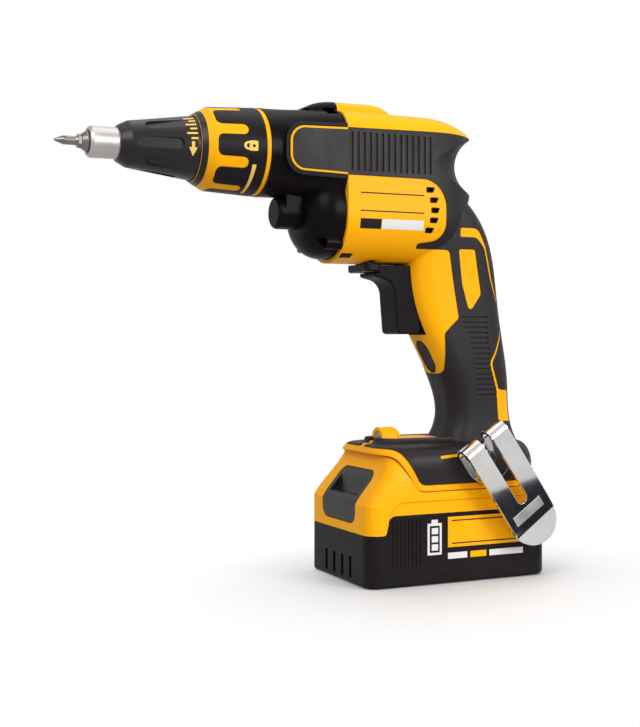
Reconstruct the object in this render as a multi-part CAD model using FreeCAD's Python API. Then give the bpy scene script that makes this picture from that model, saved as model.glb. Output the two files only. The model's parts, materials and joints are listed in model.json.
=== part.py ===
import FreeCAD, Part
import math
import os

V = FreeCAD.Vector

# Cordless drywall screwdriver with a slide-on battery pack and a belt hook.
# Millimetres, +Z up. The nose points along -X and the belt hook is on the -Y side.
# The origin is the middle of the pack's flat base.

# Battery pack, outside
PACK_LENGTH = 116.0
PACK_WIDTH = 75.0
PACK_WALL = 2.4
PACK_CORNER_R = 7.5
PACK_BASE_ROUND = 1.8
PACK_DECK_Z = 51.0
PACK_HEAD_Z = 73.0
PACK_HEAD_SETBACK = 17.5
PACK_FRONT_SEAM_Z = 28.5
PACK_SIDE_SEAM_Z = 38.8
PACK_SEAM_STEP_X = -45.0
SEAM_LEAN = 0.25
PACK_TOP_DRAFT = 1.2
PACK_GAP = 0.4
PACK_BACK_R = 9.0
PACK_KNEE_Z = 44.0
PACK_HEAD_DRAFT = 9.5
HEAD_STEPS = 4
PANEL_DEPTH = 0.8
PANEL_FRONT_X = -46.0
PANEL_BACK_X = 52.0
PANEL_LOW_Z = 8.0
PANEL_HIGH_Z = 46.0
PANEL_RIB_COUNT = 8
PANEL_RIB_PITCH = 2.4
PANEL_RIB_WIDTH = 1.0
PANEL_RIB_DEPTH = 0.5
FRONT_VENT_COUNT = 4
FRONT_VENT_PITCH = 10.0
FRONT_VENT_WIDTH = 3.2
FRONT_VENT_LOW_Z = 3.0
FRONT_VENT_HIGH_Z = 15.0

# Battery pack, inside
CELL_R = 9.15
CELL_LENGTH = 65.0
CELL_PITCH = 19.2
CELLS_PER_ROW = 5
CELL_ROWS = 2
CELL_FIT = 0.15
CELL_LIFT = 0.6
HOLDER_THICKNESS = 10.0
HOLDER_MARGIN = 2.4
BOARD_THICKNESS = 1.6
PACK_SCREW_INSET_X = 5.0
PACK_SCREW_INSET_Y = 8.5
SCREW_R = 1.4
SCREW_FIT = 0.06
SCREW_HEAD_R = 2.6
SCREW_HEAD_H = 2.4
BOSS_WALL = 1.7
SCREW_REACH = 9.0
PACK_SCREW_SEAT = 4.4
PACK_SCREW_TOP = 44.0
PACK_BOARD_HALF = 34.0

# Slide rails between the pack and the tool's foot
RAIL_NECK_HALF = 22.2
RAIL_LIP_HALF = 25.6
RAIL_LIP_Z = 58.0
RAIL_TOP_Z = 64.0
RAIL_BACK_X = 18.0
RAIL_GAP = 0.35
TERMINAL_COUNT = 5
TERMINAL_PITCH = 8.0
TERMINAL_THICKNESS = 0.8
TERMINAL_REACH = 15.0
TERMINAL_SLOT = 2.6
CLIP_THICKNESS = 0.4
TERMINAL_BLOCK_LENGTH = 24.0
TERMINAL_ROOT = 6.0
BLADE_LOW_Z = 54.0
BLADE_HIGH_Z = 61.0
RAIL_FRONT_X = -33.0

# Release button on the pack's sloped head
RELEASE_HALF = 20.5
RELEASE_LOW_Z = 33.5
RELEASE_HIGH_Z = 61.5
RELEASE_BACK_X = -42.4
RELEASE_DEPTH = 5.2
RELEASE_FLANGE = 1.4
RELEASE_GAP = 0.35
RELEASE_RECESS = 0.3
RELEASE_CORNER_R = 6.0
RELEASE_BLOCK_Z = 46.5
SCOOP_LEDGE_Z = 49.0
SCOOP_FLOOR_X = -49.5
SCOOP_LEAN = 3.0
SCOOP_MARGIN = 3.5
RELEASE_SPRING_SEAT = 1.6
RELEASE_SPRING_R = 3.0
RELEASE_SPRING_Z = 53.0

# Foot that covers the pack
FOOT_HALF = 36.4
FOOT_BACK_X = 58.8
FOOT_FRONT_X = -44.4
FOOT_TOP_Z = 78.2
FOOT_RIM = 3.4
LAMP_R = 6.6
LAMP_FRONT_X = -33.2
LAMP_LENGTH = 13.5
LAMP_Z = 77.8
LENS_R = 4.2
LENS_LENGTH = 3.0
LAMP_FIT = 0.1

# Housing: motor barrel, handle and skins
BARREL_HALF = 27.0
BARREL_TOP_Z = 260.4
BARREL_BACK_X = 20.0
BARREL_BEND_X = -20.0
BARREL_DOME_R = 15.0
JOINT_X = -65.0
HUMP_TOP_Z = 265.8
HUMP_HALF = 13.0
HUMP_FRONT_X = -86.0
HUMP_BACK_X = -30.5
SADDLE_R = 19.0
SADDLE_TURN_X = -14.0
SADDLE_Z = 233.2
WALL = 4.0
SKIN = 1.5
SKIN_PROUD = 0.35
UPPER_ROOM = 21.0
BAND_LOW_Z = 223.7
BAND_HIGH_Z = 249.2
BAND_FRONT_X = -99.0
STRIPE = 1.2
BAND_RIB_COUNT = 14
BAND_RIB_PITCH = 3.75
BAND_RIB_FRONT_X = -63.0
BAND_RIB_WIDTH = 1.5
BAND_RIB_DEPTH = 0.9
GRIP_RIB_COUNT = 16
GRIP_RIB_PITCH = 3.0
GRIP_RIB_LOW_Z = 102.0
GRIP_RIB_WIDTH = 1.1
GRIP_RIB_DEPTH = 0.7
VENT_COUNT = 5
VENT_X = -10.6
VENT_BOW = 3.2
VENT_LENGTH = 4.4
VENT_SPAN = 22.5
VENT_RISE = 2.6

# Handle stations: height, front, back, half width
HANDLE_STATIONS = [
    (66.0, -1.0, 58.5, 19.0),
    (77.0, 4.6, 55.6, 17.6),
    (88.0, 9.4, 51.9, 16.6),
    (108.0, 6.4, 50.5, 16.7),
    (128.0, -3.2, 47.8, 17.3),
    (148.0, -13.0, 44.3, 17.6),
    (168.0, -17.6, 41.6, 18.4),
    (190.0, -18.4, 36.8, 20.4),
    (205.0, -18.0, 29.0, 21.4),
    (218.0, -17.5, 16.0, 21.0),
]

# Motor, gears and spindle, all on axes along X
SPINDLE_Z = 236.2
GEAR_MODULE = 0.75
PINION_TEETH = 12
IDLER_TEETH = 12
DRIVE_TEETH = 50
PRESSURE_ANGLE = 25.0
ADDENDUM = 0.8
DEDENDUM = 1.15
BACKLASH = 0.09
FLANK_STEPS = 3
GEAR_WIDTH = 9.0
GEAR_BACK_X = -79.0
STATOR_R = 21.6
STATOR_BORE_R = 12.9
STATOR_FRONT_X = -52.0
STATOR_LENGTH = 30.0
STATOR_TEETH = 6
STATOR_YOKE = 3.4
TOOTH_WIDTH = 5.0
SHOE_T = 1.4
COIL_THICKNESS = 2.2
COIL_CLEAR = 0.9
MAGNET_T = 2.2
COIL_OVERHANG = 4.0
AIR_GAP = 0.5
MOTOR_FIT = 0.25
SHAFT_R = 2.5
ROTOR_HUB_R = 8.0
BEARING_R = 7.0
BEARING_WIDTH = 5.0
BEARING_FIT = 0.04
REAR_BEARING_X = -8.0
POD_FRONT_X = -97.6
POD_WALL = 1.9
FAN_R = 20.4
FAN_WIDTH = 7.0
FAN_BLADES = 9
FAN_GAP = 1.2
PLATE_THICKNESS = 4.0

# Gear case
CASE_R = 24.0
CASE_FRONT_X = -108.5
CASE_WALL = 2.6
DOME_R = 23.8
DOME_FRONT_X = -84.2
DOME_ROUND = 15.0
CASE_LOW_ROOM_R = 6.6
CASE_LOW_ROOM_X = -90.2
WEB_HALF = 8.9
FRAME = 2.4
FRAME_Y = 26.2
TONGUE_GAP = 0.3
CASE_FRONT_WALL = 3.6
RING_WIDTH = 2.4
SPIGOT_R = 12.0
SPIGOT_LENGTH = 32.0
BUSH_R = 9.5
CASE_SCREW_GRIP = 5.0
CASE_SCREW_REACH = 14.0
CASE_SCREW_RECESS = 13.0
SOCKET_DEPTH = 1.4
CASE_SCREW_RADIUS = 23.7
CASE_SCREW_ANGLE = 45.0
TOP_SCREW_Y = 8.0
WINDOW_BACK_X = -66.8
WINDOW_LENGTH = 6.4
WINDOW_LOW_Z = 257.4
WINDOW_HIGH_Z = 261.6
TOP_SCREW_DROP = 7.6

# Spindle, clutch, bit holder and bit
SPINDLE_R = 7.0
SPINDLE_FRONT_X = -150.0
SPINDLE_SEAT_R = 5.4
SPINDLE_TAIL_R = 4.0
RUNNING_FIT = 0.05
CLUTCH_FLANGE_R = 14.0
CLUTCH_FLANGE_T = 5.0
DOG_COUNT = 3
DOG_INNER_R = 10.0
DOG_HEIGHT = 2.0
DOG_SHARE = 0.42
CLUTCH_SPRING_R = 7.6
PUSH_TRAVEL = 4.0
CLUTCH_GAP = 0.3
WASHER_T = 1.2
WASHER_R = 9.2
HEX_FLATS = 6.35
HEX_FIT = 0.05
HOLDER_R = 5.3
HOLDER_FRONT_X = -205.0
HOLDER_LENGTH = 40.0
HOLDER_SHANK = 24.0
BIT_TIP_X = -218.8
BIT_LENGTH = 25.0
BIT_NECK_R = 2.3
MAGNET_LENGTH = 5.0
MAGNET_R = 2.8
HEX_DEPTH = 25.0
BIT_SHANK = 13.0
IDLER_PIN_R = 2.0
IDLER_PIN_FRONT_X = -93.2
TAIL_BUSH_WALL = 2.0
TAIL_BUSH_REACH = 4.0
WIRE_R = 0.5

# Nosepiece, cone and depth collar
NOSEPIECE_R = 8.2
NOSEPIECE_BORE_R = 5.9
NOSEPIECE_FRONT_X = -201.5
NOSEPIECE_LENGTH = 32.0
NOSE_SHANK_R = 7.8
NOSE_UNDERCUT = 0.6
CONE_FRONT_X = -186.0
CONE_REAR_X = -139.0
CONE_FRONT_R = 9.6
CONE_SHOULDER_R = 12.2
CONE_SHOULDER_X = -181.0
CONE_REAR_R = 17.0
CONE_WALL = 2.2
CONE_STEP_X = -147.0
FLUTE_COUNT = 8
FLUTE_WIDTH = 5.6
FLUTE_LENGTH = 24.0
FLUTE_DEPTH = 1.5
FLUTE_LEAN = 3.0
CARRIER_FIT = 0.15
CARRIER_FLANGE_R = 18.3
CARRIER_FLANGE_T = 8.0
DEPTH_TRAVEL = 4.0
COLLAR_LENGTH = 34.2
COLLAR_FRONT_R = 17.9
COLLAR_SHOULDER_R = 22.0
COLLAR_REAR_R = 23.6
COLLAR_CHAMFER = 7.0
COLLAR_GAP = 0.3
COLLAR_SKIN = 1.6
GRIP_PROUD = 0.3
CONE_GAP = 0.35
CARRIER_OUT_R = 14.2
FLUTE_STAGGER = 5.0
FINGER_COUNT = 8
FINGER_WIDTH = 6.2
FINGER_REACH = 17.0

# Trigger, switch and buttons
TRIGGER_HALF = 9.7
TRIGGER_GAP = 0.3
TRIGGER_TRAVEL = 6.0
TRIGGER_BACK_X = -10.5
TRIGGER_LOW_Z = 137.4
TRIGGER_HIGH_Z = 176.2
TRIGGER_ROUND = 1.0
PLUNGER_FIT = 0.1
PLUNGER_R = 3.0
PLUNGER_Z = 157.0
PLUNGER_LENGTH = 24.0
SPRING_POCKET_R = 5.2
SPRING_POCKET = 12.0
SWITCH_LENGTH = 26.0
SWITCH_LOW_Z = 141.0
SWITCH_HIGH_Z = 175.0
REVERSE_FRONT_X = -46.6
REVERSE_LENGTH = 9.6
REVERSE_HALF = 12.5
REVERSE_LOW_Z = 172.4
REVERSE_HEIGHT = 4.2
REVERSE_STEM_HEIGHT = 4.4
REVERSE_STEM_HALF = 7.0
REVERSE_TRAVEL = 3.0
LOCK_HALF = 6.2
LOCK_LOW_Z = 115.4
LOCK_HIGH_Z = 133.6
LOCK_DEPTH = 5.4
LOCK_RECESS = 0.6
LOCK_FLANGE = 1.3
LOCK_GAP = 0.3
CONTROLLER_LENGTH = 24.0
CONTROLLER_FRONT_X = 15.0
CONTROLLER_LOW_Z = 86.0
CONTROLLER_HIGH_Z = 130.0
SEAT_GAP = 0.3

# Belt hook: a bent steel strap on the -Y side
HOOK_WIDTH = 30.0
HOOK_THICKNESS = 1.8
HOOK_GAP = 8.0
HOOK_LENGTH = 72.0
HOOK_INNER_LENGTH = 30.0
HOOK_SLOT = 7.0
HOOK_SLOT_LENGTH = 46.0
HOOK_TILT = 34.5
HOOK_TOP_X = 7.4
HOOK_TOP_Z = 81.4
HOOK_SCREW_DROP = 16.0
HOOK_SCREW_R = 1.9
HOOK_SCREW_HEAD_R = 4.2
HOOK_SCREW_LENGTH = 9.0
HOOK_SCREW_HEAD_H = 2.4
HOOK_SEAT_GAP = 0.55
HOOK_SEAT_Y = FOOT_HALF + SKIN_PROUD + HOOK_SEAT_GAP
HOOK_LIP = 12.0
HOOK_FLARE = 1.6
HOOK_SHORT_SLOT = 9.0
HOOK_BOW = 1.0
HOOK_BOW_R = 600.0

# Derived places
MOTOR_Z = SPINDLE_Z - GEAR_MODULE * (PINION_TEETH + 2 * IDLER_TEETH + DRIVE_TEETH) / 2
IDLER_Z = MOTOR_Z + GEAR_MODULE * (PINION_TEETH + IDLER_TEETH) / 2
GEAR_FRONT_X = GEAR_BACK_X - GEAR_WIDTH
PLATE_BACK_X = JOINT_X - SEAT_GAP
PLATE_FRONT_X = PLATE_BACK_X - PLATE_THICKNESS
MOTOR_BORE_R = STATOR_R + MOTOR_FIT
COLLAR_REAR_X = CASE_FRONT_X - RING_WIDTH - COLLAR_GAP
COLLAR_FRONT_X = COLLAR_REAR_X - COLLAR_LENGTH
SPIGOT_FRONT_X = CASE_FRONT_X - SPIGOT_LENGTH
FLANGE_FRONT_X = CASE_FRONT_X + CASE_FRONT_WALL + SEAT_GAP
FLANGE_BACK_X = FLANGE_FRONT_X + CLUTCH_FLANGE_T
SWITCH_FRONT_X = TRIGGER_BACK_X + TRIGGER_TRAVEL + 2 * TRIGGER_GAP
CHANNEL_TOP_Z = RAIL_TOP_Z + RAIL_GAP
BLOCK_FRONT_X = RAIL_BACK_X + 2 * RAIL_GAP
CHANNEL_BACK_X = BLOCK_FRONT_X + TERMINAL_BLOCK_LENGTH
CELL_LOW_Z = PACK_WALL + CELL_LIFT + CELL_R
CELL_TOP_Z = CELL_LOW_Z + (CELL_ROWS - 1) * CELL_PITCH + CELL_R
HOLDER_TOP_Z = CELL_TOP_Z + HOLDER_MARGIN
FAR = 400.0


def box(x0, x1, y0, y1, z0, z1):
    """Plain block between two corners."""
    return Part.makeBox(x1 - x0, y1 - y0, z1 - z0, V(x0, y0, z0))


def cylinder_x(x0, x1, radius, z=SPINDLE_Z, y=0.0):
    """Round bar along X."""
    return Part.makeCylinder(radius, x1 - x0, V(x0, y, z), V(1, 0, 0))


def cylinder_y(y0, y1, radius, x, z):
    """Round bar along Y."""
    return Part.makeCylinder(radius, y1 - y0, V(x, y0, z), V(0, 1, 0))


def cylinder_z(z0, z1, radius, x, y):
    """Round bar along Z."""
    return Part.makeCylinder(radius, z1 - z0, V(x, y, z0), V(0, 0, 1))


def tube_x(x0, x1, outer, inner, z=SPINDLE_Z, y=0.0):
    """Sleeve along X."""
    return cylinder_x(x0, x1, outer, z, y).cut(cylinder_x(x0 - 1, x1 + 1, inner, z, y))


def rounded_wire(corners, place):
    """Closed wire through corners (u, v, radius), with an arc at every corner that has a radius."""
    spans = []
    for i, (u, v, radius) in enumerate(corners):
        here = V(u, v, 0)
        if radius <= 0:
            spans.append((here, None, here))
            continue
        before = V(*corners[i - 1][:2], 0) - here
        after = V(*corners[(i + 1) % len(corners)][:2], 0) - here
        before.normalize()
        after.normalize()
        half = before.getAngle(after) / 2
        inward = before + after
        inward.normalize()
        reach = radius / math.tan(half)
        middle = here + inward * (radius / math.sin(half) - radius)
        spans.append((here + before * reach, middle, here + after * reach))
    edges = []
    for i, (start, middle, end) in enumerate(spans):
        last = spans[i - 1][2]
        if (start - last).Length > 1e-6:
            edges.append(Part.LineSegment(place(last), place(start)).toShape())
        if middle is not None:
            edges.append(Part.Arc(place(start), place(middle), place(end)).toShape())
    return Part.Wire(edges)


def prism_x(corners, x0, x1):
    """Outline of (y, z, radius) corners drawn out along X."""
    wire = rounded_wire(corners, lambda p: V(x0, p.x, p.y))
    return Part.Face(wire).extrude(V(x1 - x0, 0, 0))


def prism_y(corners, y0, y1):
    """Outline of (x, z, radius) corners drawn out along Y."""
    wire = rounded_wire(corners, lambda p: V(p.x, y0, p.y))
    return Part.Face(wire).extrude(V(0, y1 - y0, 0))


def prism_z(corners, z0, z1):
    """Outline of (x, y, radius) corners drawn out along Z."""
    wire = rounded_wire(corners, lambda p: V(p.x, p.y, z0))
    return Part.Face(wire).extrude(V(0, 0, z1 - z0))


def rectangle(u0, u1, v0, v1, radius):
    """Corners of a rectangle with one corner radius."""
    return [(u0, v0, radius), (u1, v0, radius), (u1, v1, radius), (u0, v1, radius)]


def revolve_x(profile, z=SPINDLE_Z):
    """Profile of (x, distance from the axis, corner radius) turned about an axis along X."""
    wire = rounded_wire(profile, lambda p: V(p.x, 0, z + p.y))
    return Part.Face(wire).revolve(V(0, 0, z), V(1, 0, 0), 360)


def around_x(shape, angle, z=SPINDLE_Z):
    """Copy turned about an axis along X."""
    copy = shape.copy()
    copy.rotate(V(0, 0, z), V(1, 0, 0), angle)
    return copy


def ring_of(shape, count, z=SPINDLE_Z, first=0.0):
    """Copies spread evenly about an axis along X."""
    return [around_x(shape, first + 360.0 * i / count, z) for i in range(count)]


def join(shapes):
    """One solid from overlapping solids."""
    return shapes[0].multiFuse(shapes[1:]).removeSplitter()


def carve(shape, tools):
    """Take the tools away one after the other."""
    for tool in tools:
        shape = shape.cut(tool)
    return shape


def group(shapes):
    """Separate solids kept in one node."""
    return Part.makeCompound(shapes)


def mirrored(shape):
    """Mirror copy on the other side of the tool's middle plane."""
    return shape.mirror(V(0, 0, 0), V(0, 1, 0))


def half_space(side):
    """Everything on one side of the tool's middle plane."""
    low, high = (0, FAR) if side > 0 else (-FAR, 0)
    return box(-FAR, FAR, low, high, -FAR, FAR)


def hex_bar(x0, x1, flats):
    """Six-sided bar on the spindle axis."""
    radius = flats / math.sqrt(3)
    turns = [math.radians(60 * i) for i in range(6)]
    corners = [(radius * math.sin(a), SPINDLE_Z + radius * math.cos(a), 0) for a in turns]
    return prism_x(corners, x0, x1)


def coil_spring(x0, x1, radius, turns, z, y=0.0):
    """Round-wire compression spring along X, its wire ends inside the two end planes."""
    pitch = (x1 - x0 - 2 * WIRE_R) / turns
    helix = Part.makeHelix(pitch, pitch * turns, radius)
    section = Part.Wire([Part.makeCircle(WIRE_R, V(radius, 0, 0), V(0, 1, 0))])
    spring = Part.Wire(helix.Edges).makePipeShell([section], True, True)
    spring.rotate(V(0, 0, 0), V(0, 1, 0), 90)
    spring.translate(V(x0 + WIRE_R, y, z))
    return spring


def loft_x(stations):
    """Smooth body through sections across X: (x, half width, low, high, low radius, high radius)."""
    wires = []
    for x, half, low, high, low_r, high_r in stations:
        corners = [(-half, low, low_r), (half, low, low_r), (half, high, high_r), (-half, high, high_r)]
        wires.append(rounded_wire(corners, lambda p, x=x: V(x, p.x, p.y)))
    return Part.makeLoft(wires, True, False)


def loft_z(stations, straight=False):
    """Body through level sections: (z, front, back, half width, front radius, back radius)."""
    wires = []
    for z, front, back, half, front_r, back_r in stations:
        corners = [(front, -half, front_r), (back, -half, back_r), (back, half, back_r), (front, half, front_r)]
        wires.append(rounded_wire(corners, lambda p, z=z: V(p.x, p.y, z)))
    return Part.makeLoft(wires, True, straight)


# Housing forms. Each takes an inset, so the skin, the shell and the cavity share one shape.

def barrel_form(inset):
    """Motor barrel: a round belly about the motor axis under a domed top, closing in at the back."""
    low = MOTOR_Z - BARREL_HALF
    straight = (BARREL_HALF, low, BARREL_TOP_Z, BARREL_HALF - 1, BARREL_DOME_R)
    front = [(BAND_FRONT_X - 3,) + straight, (BARREL_BEND_X,) + straight]
    back = [
        (BARREL_BEND_X,) + straight,
        (BARREL_BEND_X + 4,) + straight,
        (BARREL_BEND_X + 18, BARREL_HALF - 1.2, low + 2, BARREL_TOP_Z - 0.6, 24.5, BARREL_DOME_R),
        (BARREL_BACK_X - 10, BARREL_HALF - 5.5, low + 12, BARREL_TOP_Z - 2.6, 20.0, BARREL_DOME_R - 1),
        (BARREL_BACK_X, BARREL_HALF - 13.5, low + 32, BARREL_TOP_Z - 5.5, 11.5, BARREL_DOME_R - 6),
    ]
    spans = []
    for stations in (front, back):
        spans.append(loft_x([
            (x, half - inset, bottom + inset, top - inset, low_r - inset, high_r - inset)
            for x, half, bottom, top, low_r, high_r in stations
        ]))
    return join(spans)


def saddle_form(inset):
    """Ring-shaped cutter for the hollow that runs round the tail, where the web of the hand sits."""
    ring = Part.makeTorus(BARREL_HALF + SADDLE_R, SADDLE_R + inset, V(SADDLE_TURN_X, 0, SADDLE_Z), V(0, 0, 1))
    return ring.common(box(SADDLE_TURN_X, FAR, -FAR, FAR, -FAR, 2 * FAR))


def handle_form(inset):
    """Handle through its stations, rounder at the back than at the front."""
    return loft_z([
        (z, front + inset, back - inset, half - inset, 0.72 * half - inset, 0.92 * half - inset)
        for z, front, back, half in HANDLE_STATIONS
    ])


def foot_form(inset):
    """Foot that spreads over the pack, crowned along its middle."""
    stations = [
        (PACK_DECK_Z - 6, FOOT_FRONT_X - 3, FOOT_BACK_X - 1.5, FOOT_HALF - 0.4, 17.0, 26.0),
        (PACK_DECK_Z + 9, FOOT_FRONT_X - 1, FOOT_BACK_X, FOOT_HALF - 0.2, 17.0, 26.0),
        (FOOT_TOP_Z - 10.0, FOOT_FRONT_X - 0.6, FOOT_BACK_X - 0.6, FOOT_HALF - 0.4, 17.0, 26.0),
        (FOOT_TOP_Z - 6.5, FOOT_FRONT_X, FOOT_BACK_X - 1.8, FOOT_HALF - 2.2, 17.0, 25.0),
        (FOOT_TOP_Z - 3.0, FOOT_FRONT_X + 2.4, FOOT_BACK_X - 4.5, FOOT_HALF - 9.5, 15.0, 20.0),
        (FOOT_TOP_Z - inset, FOOT_FRONT_X + 7, FOOT_BACK_X - 9, FOOT_HALF - 23, 9.0, 11.0),
    ]
    return loft_z([
        (z, front + inset, back - inset, half - inset, front_r - inset, back_r - inset)
        for z, front, back, half, front_r, back_r in stations
    ])


def parting_outline(drop, top):
    """Side outline of the line where the foot meets the pack, closed at the given height."""
    return [
        (FAR, PACK_DECK_Z - drop, 0),
        (-26.3 - drop, PACK_DECK_Z - drop, 7),
        (-39.0 - drop, PACK_DECK_Z + 19.5 - drop, 6),
        (-FAR, PACK_HEAD_Z + 12 - drop, 0),
        (-FAR, top, 0),
        (FAR, top, 0),
    ]


def hump_form():
    """Long dome on the crown, shared by the gear case and the housing."""
    base = BARREL_TOP_Z - 8
    stations = [
        (HUMP_FRONT_X, HUMP_HALF - 5, base, BARREL_TOP_Z - 2.4, 3.0, 3.0),
        (HUMP_FRONT_X + 7, HUMP_HALF - 2, base, HUMP_TOP_Z - 2.4, 3.0, 5.0),
        (HUMP_FRONT_X + 18, HUMP_HALF, base, HUMP_TOP_Z, 3.0, 6.0),
        (HUMP_BACK_X - 10, HUMP_HALF, base, HUMP_TOP_Z, 3.0, 6.0),
        (HUMP_BACK_X - 2, HUMP_HALF - 1, base, HUMP_TOP_Z - 2.4, 3.0, 5.0),
        (HUMP_BACK_X + 2, HUMP_HALF - 3, base, BARREL_TOP_Z - 1.2, 3.0, 4.0),
    ]
    return loft_x(stations)


def tongue_outline(inset):
    """Side outline of the band's front tongue, which reaches forward over the gear case."""
    low, high = BAND_LOW_Z + inset, BAND_HIGH_Z - inset
    front = BAND_FRONT_X + inset
    return [
        (front, low + 1, 8.5 - inset),
        (JOINT_X + 1, low, 0),
        (JOINT_X + 1, high, 0),
        (front, high - 1, 8.5 - inset),
    ]


def lamp_hood():
    """Rounded hood on the foot that shades the work light."""
    hood = cylinder_x(LAMP_FRONT_X, LAMP_FRONT_X + LAMP_LENGTH, LAMP_R, LAMP_Z)
    back_edge = [e for e in hood.Edges if e.BoundBox.XMin > LAMP_FRONT_X + LAMP_LENGTH - 1e-3]
    return hood.makeFillet(LAMP_R * 0.8, back_edge[:1])


def housing_body(inset):
    """Barrel, handle and foot as one solid, drawn in by the inset."""
    barrel = barrel_form(inset).cut(saddle_form(inset))
    barrel = barrel.common(box(JOINT_X, FAR, -FAR, FAR, -FAR, FAR))
    foot = foot_form(inset).common(prism_y(parting_outline(0, FAR), -FAR, FAR))
    return join([barrel, handle_form(inset), foot])


def yellow_areas():
    """Side outlines that the soft skin leaves bare, drawn through the tool."""
    front = JOINT_X - 5
    panel = [
        (front, BAND_LOW_Z, 0),
        (-3.0, BAND_LOW_Z, 16),
        (-3.0, 190.5, 10),
        (-19.5, 188.0, 1.5),
        (-19.5, 185.3, 0.8),
        (2.6, 185.3, 3),
        (10.4, 146.6, 2.5),
        (1.2, 138.2, 3),
        (4.4, 116.0, 5),
        (0.5, 108.6, 4),
        (-40.0, 108.6, 0),
        (front, 150.0, 0),
    ]
    crown = [
        (front, BAND_HIGH_Z, 0),
        (18.0, BAND_HIGH_Z + 1.7, 0),
        (60.0, BAND_HIGH_Z + 2.2, 0),
        (60.0, 300.0, 0),
        (front, 300.0, 0),
    ]
    accent_high = [
        (9.2, 198.2, 1),
        (9.2, 192.8, 1),
        (20.5, 192.8, 6),
        (26.5, 187.0, 6),
        (31.6, 169.0, 20),
        (37.8, 155.6, 0),
        (39.2, 156.2, 0),
        (33.2, 169.4, 20),
        (28.0, 188.2, 6),
        (22.0, 198.2, 6),
    ]
    accent_middle = [
        (8.6, 186.0, 1.5),
        (19.6, 186.0, 1.5),
        (25.0, 160.5, 4),
        (17.4, 149.4, 2),
        (12.0, 165.6, 8),
    ]
    accent_low = [
        (43.8, 142.6, 0),
        (35.6, 125.2, 8),
        (33.0, 120.9, 6),
        (38.0, 105.4, 2),
        (47.0, 104.6, 1),
        (49.0, 86.5, 1),
        (37.6, 87.0, 2),
        (36.4, 104.8, 3),
        (31.4, 121.3, 6),
        (34.2, 125.8, 8),
        (42.5, 143.2, 0),
    ]
    rim = [
        (FAR, PACK_DECK_Z + FOOT_RIM, 0),
        (-24.6, PACK_DECK_Z + FOOT_RIM, 6),
        (-36.8, PACK_DECK_Z + 19.5 + FOOT_RIM, 6),
        (-FAR, PACK_HEAD_Z + 12 + FOOT_RIM, 0),
        (-FAR, 20.0, 0),
        (FAR, 20.0, 0),
    ]
    outlines = [panel, crown, accent_high, accent_middle, accent_low, rim]
    areas = [prism_y(outline, -FAR / 4, FAR / 4) for outline in outlines]
    deck = [(-31.0, -10.5, 3), (2.0, -12.5, 4), (2.0, 12.5, 4), (-31.0, 10.5, 3)]
    areas.append(prism_z(deck, FOOT_TOP_Z - 8, FOOT_TOP_Z + 1))
    hook_slot = [(-12.6, 68.4, 0.6), (0.5, 69.4, 0.6), (0.5, 71.2, 0.6), (-12.6, 70.2, 0.6)]
    areas.append(prism_y(hook_slot, -FAR / 4, FAR / 4))
    return areas


def band_ribs():
    """Upright grooves along the band on one side of the tool."""
    grooves = []
    for i in range(BAND_RIB_COUNT):
        x = BAND_RIB_FRONT_X + i * BAND_RIB_PITCH
        low, high = BAND_LOW_Z + 2.4, BAND_HIGH_Z - 2.2
        outer = BARREL_HALF + SKIN_PROUD
        half = BAND_RIB_WIDTH / 2
        grooves.append(box(x - half, x + half, -outer - 1, -outer + BAND_RIB_DEPTH, low, high))
    return grooves


def grip_ribs():
    """Level grooves down the side of the grip, in a field that narrows at its middle."""
    grooves = []
    floor = handle_form(GRIP_RIB_DEPTH - SKIN_PROUD)
    for i in range(GRIP_RIB_COUNT):
        z = GRIP_RIB_LOW_Z + i * GRIP_RIB_PITCH
        share = 2.0 * i / (GRIP_RIB_COUNT - 1) - 1
        half = 6.0 + 3.0 * share * share
        middle = 26.0 - 5.5 * share
        rib = GRIP_RIB_WIDTH / 2
        slab = box(middle - half, middle + half, -FAR / 8, 0, z - rib, z + rib)
        grooves.append(slab.cut(floor))
    return grooves


def screw_places():
    """Housing screws along Y: x, z and the seat of the head on the +Y side."""
    return [
        (-58.5, 240.0, 19.0),
        (0.5, 246.0, 15.0),
        (14.0, 207.0, 12.0),
        (33.0, 147.0, 8.0),
        (43.0, 96.0, 8.0),
        (-28.0, 70.0, 17.0),
        (53.0, 63.0, 22.0),
    ]


def housing_and_skins():
    """Two clam shells, and the soft skin moulded onto each of them."""
    left = half_space(-1)
    behind = box(JOINT_X, FAR, -FAR, FAR, -FAR, FAR)
    ahead = box(-FAR, JOINT_X, -FAR, FAR, -FAR, FAR)
    core = housing_body(SKIN).common(left)
    skin = housing_body(-SKIN_PROUD).common(left).cut(core).cut(yellow_areas())
    crown = hump_form().common(behind).common(left)
    hood = lamp_hood().common(left)
    cavities = housing_cavities()
    skin = skin.cut([crown, hood]).cut(cavities)
    shell = join([housing_body(0).common(left), crown, hood]).cut(skin.copy()).cut(cavities)
    skin = carve(skin, band_ribs() + grip_ribs())

    seat = box(-FAR, FAR, -CASE_R - 2 * TONGUE_GAP, FAR, -FAR, FAR)
    tongue = barrel_form(0).common(prism_y(tongue_outline(0), -FAR, FAR)).common(ahead).cut(seat)
    band = barrel_form(-SKIN_PROUD).cut(barrel_form(SKIN)).common(left)
    band = band.common(prism_y(tongue_outline(STRIPE), -FAR, FAR)).common(ahead)
    shell = join([shell, tongue.cut(band.copy())])

    results = {}
    for name, side in (("left", -1), ("right", 1)):
        place = mirrored if side > 0 else Part.Shape.copy
        room = half_space(side)
        holes = [hole.common(room) for hole in housing_screw_holes()]
        posts = [post.common(place(core)) for post in housing_bosses()]
        half_shell = carve(join([place(shell)] + posts), holes)
        half_skin = place(skin)
        if side < 0:
            half_shell = half_shell.cut(hook_screw_hole())
            half_skin = half_skin.cut(hook_screw_hole())
        else:
            half_skin = carve(half_skin, holes)
        results[name + "_housing"] = half_shell
        results[name + "_skin"] = group(half_skin.Solids + place(band).Solids)
    return results


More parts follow.
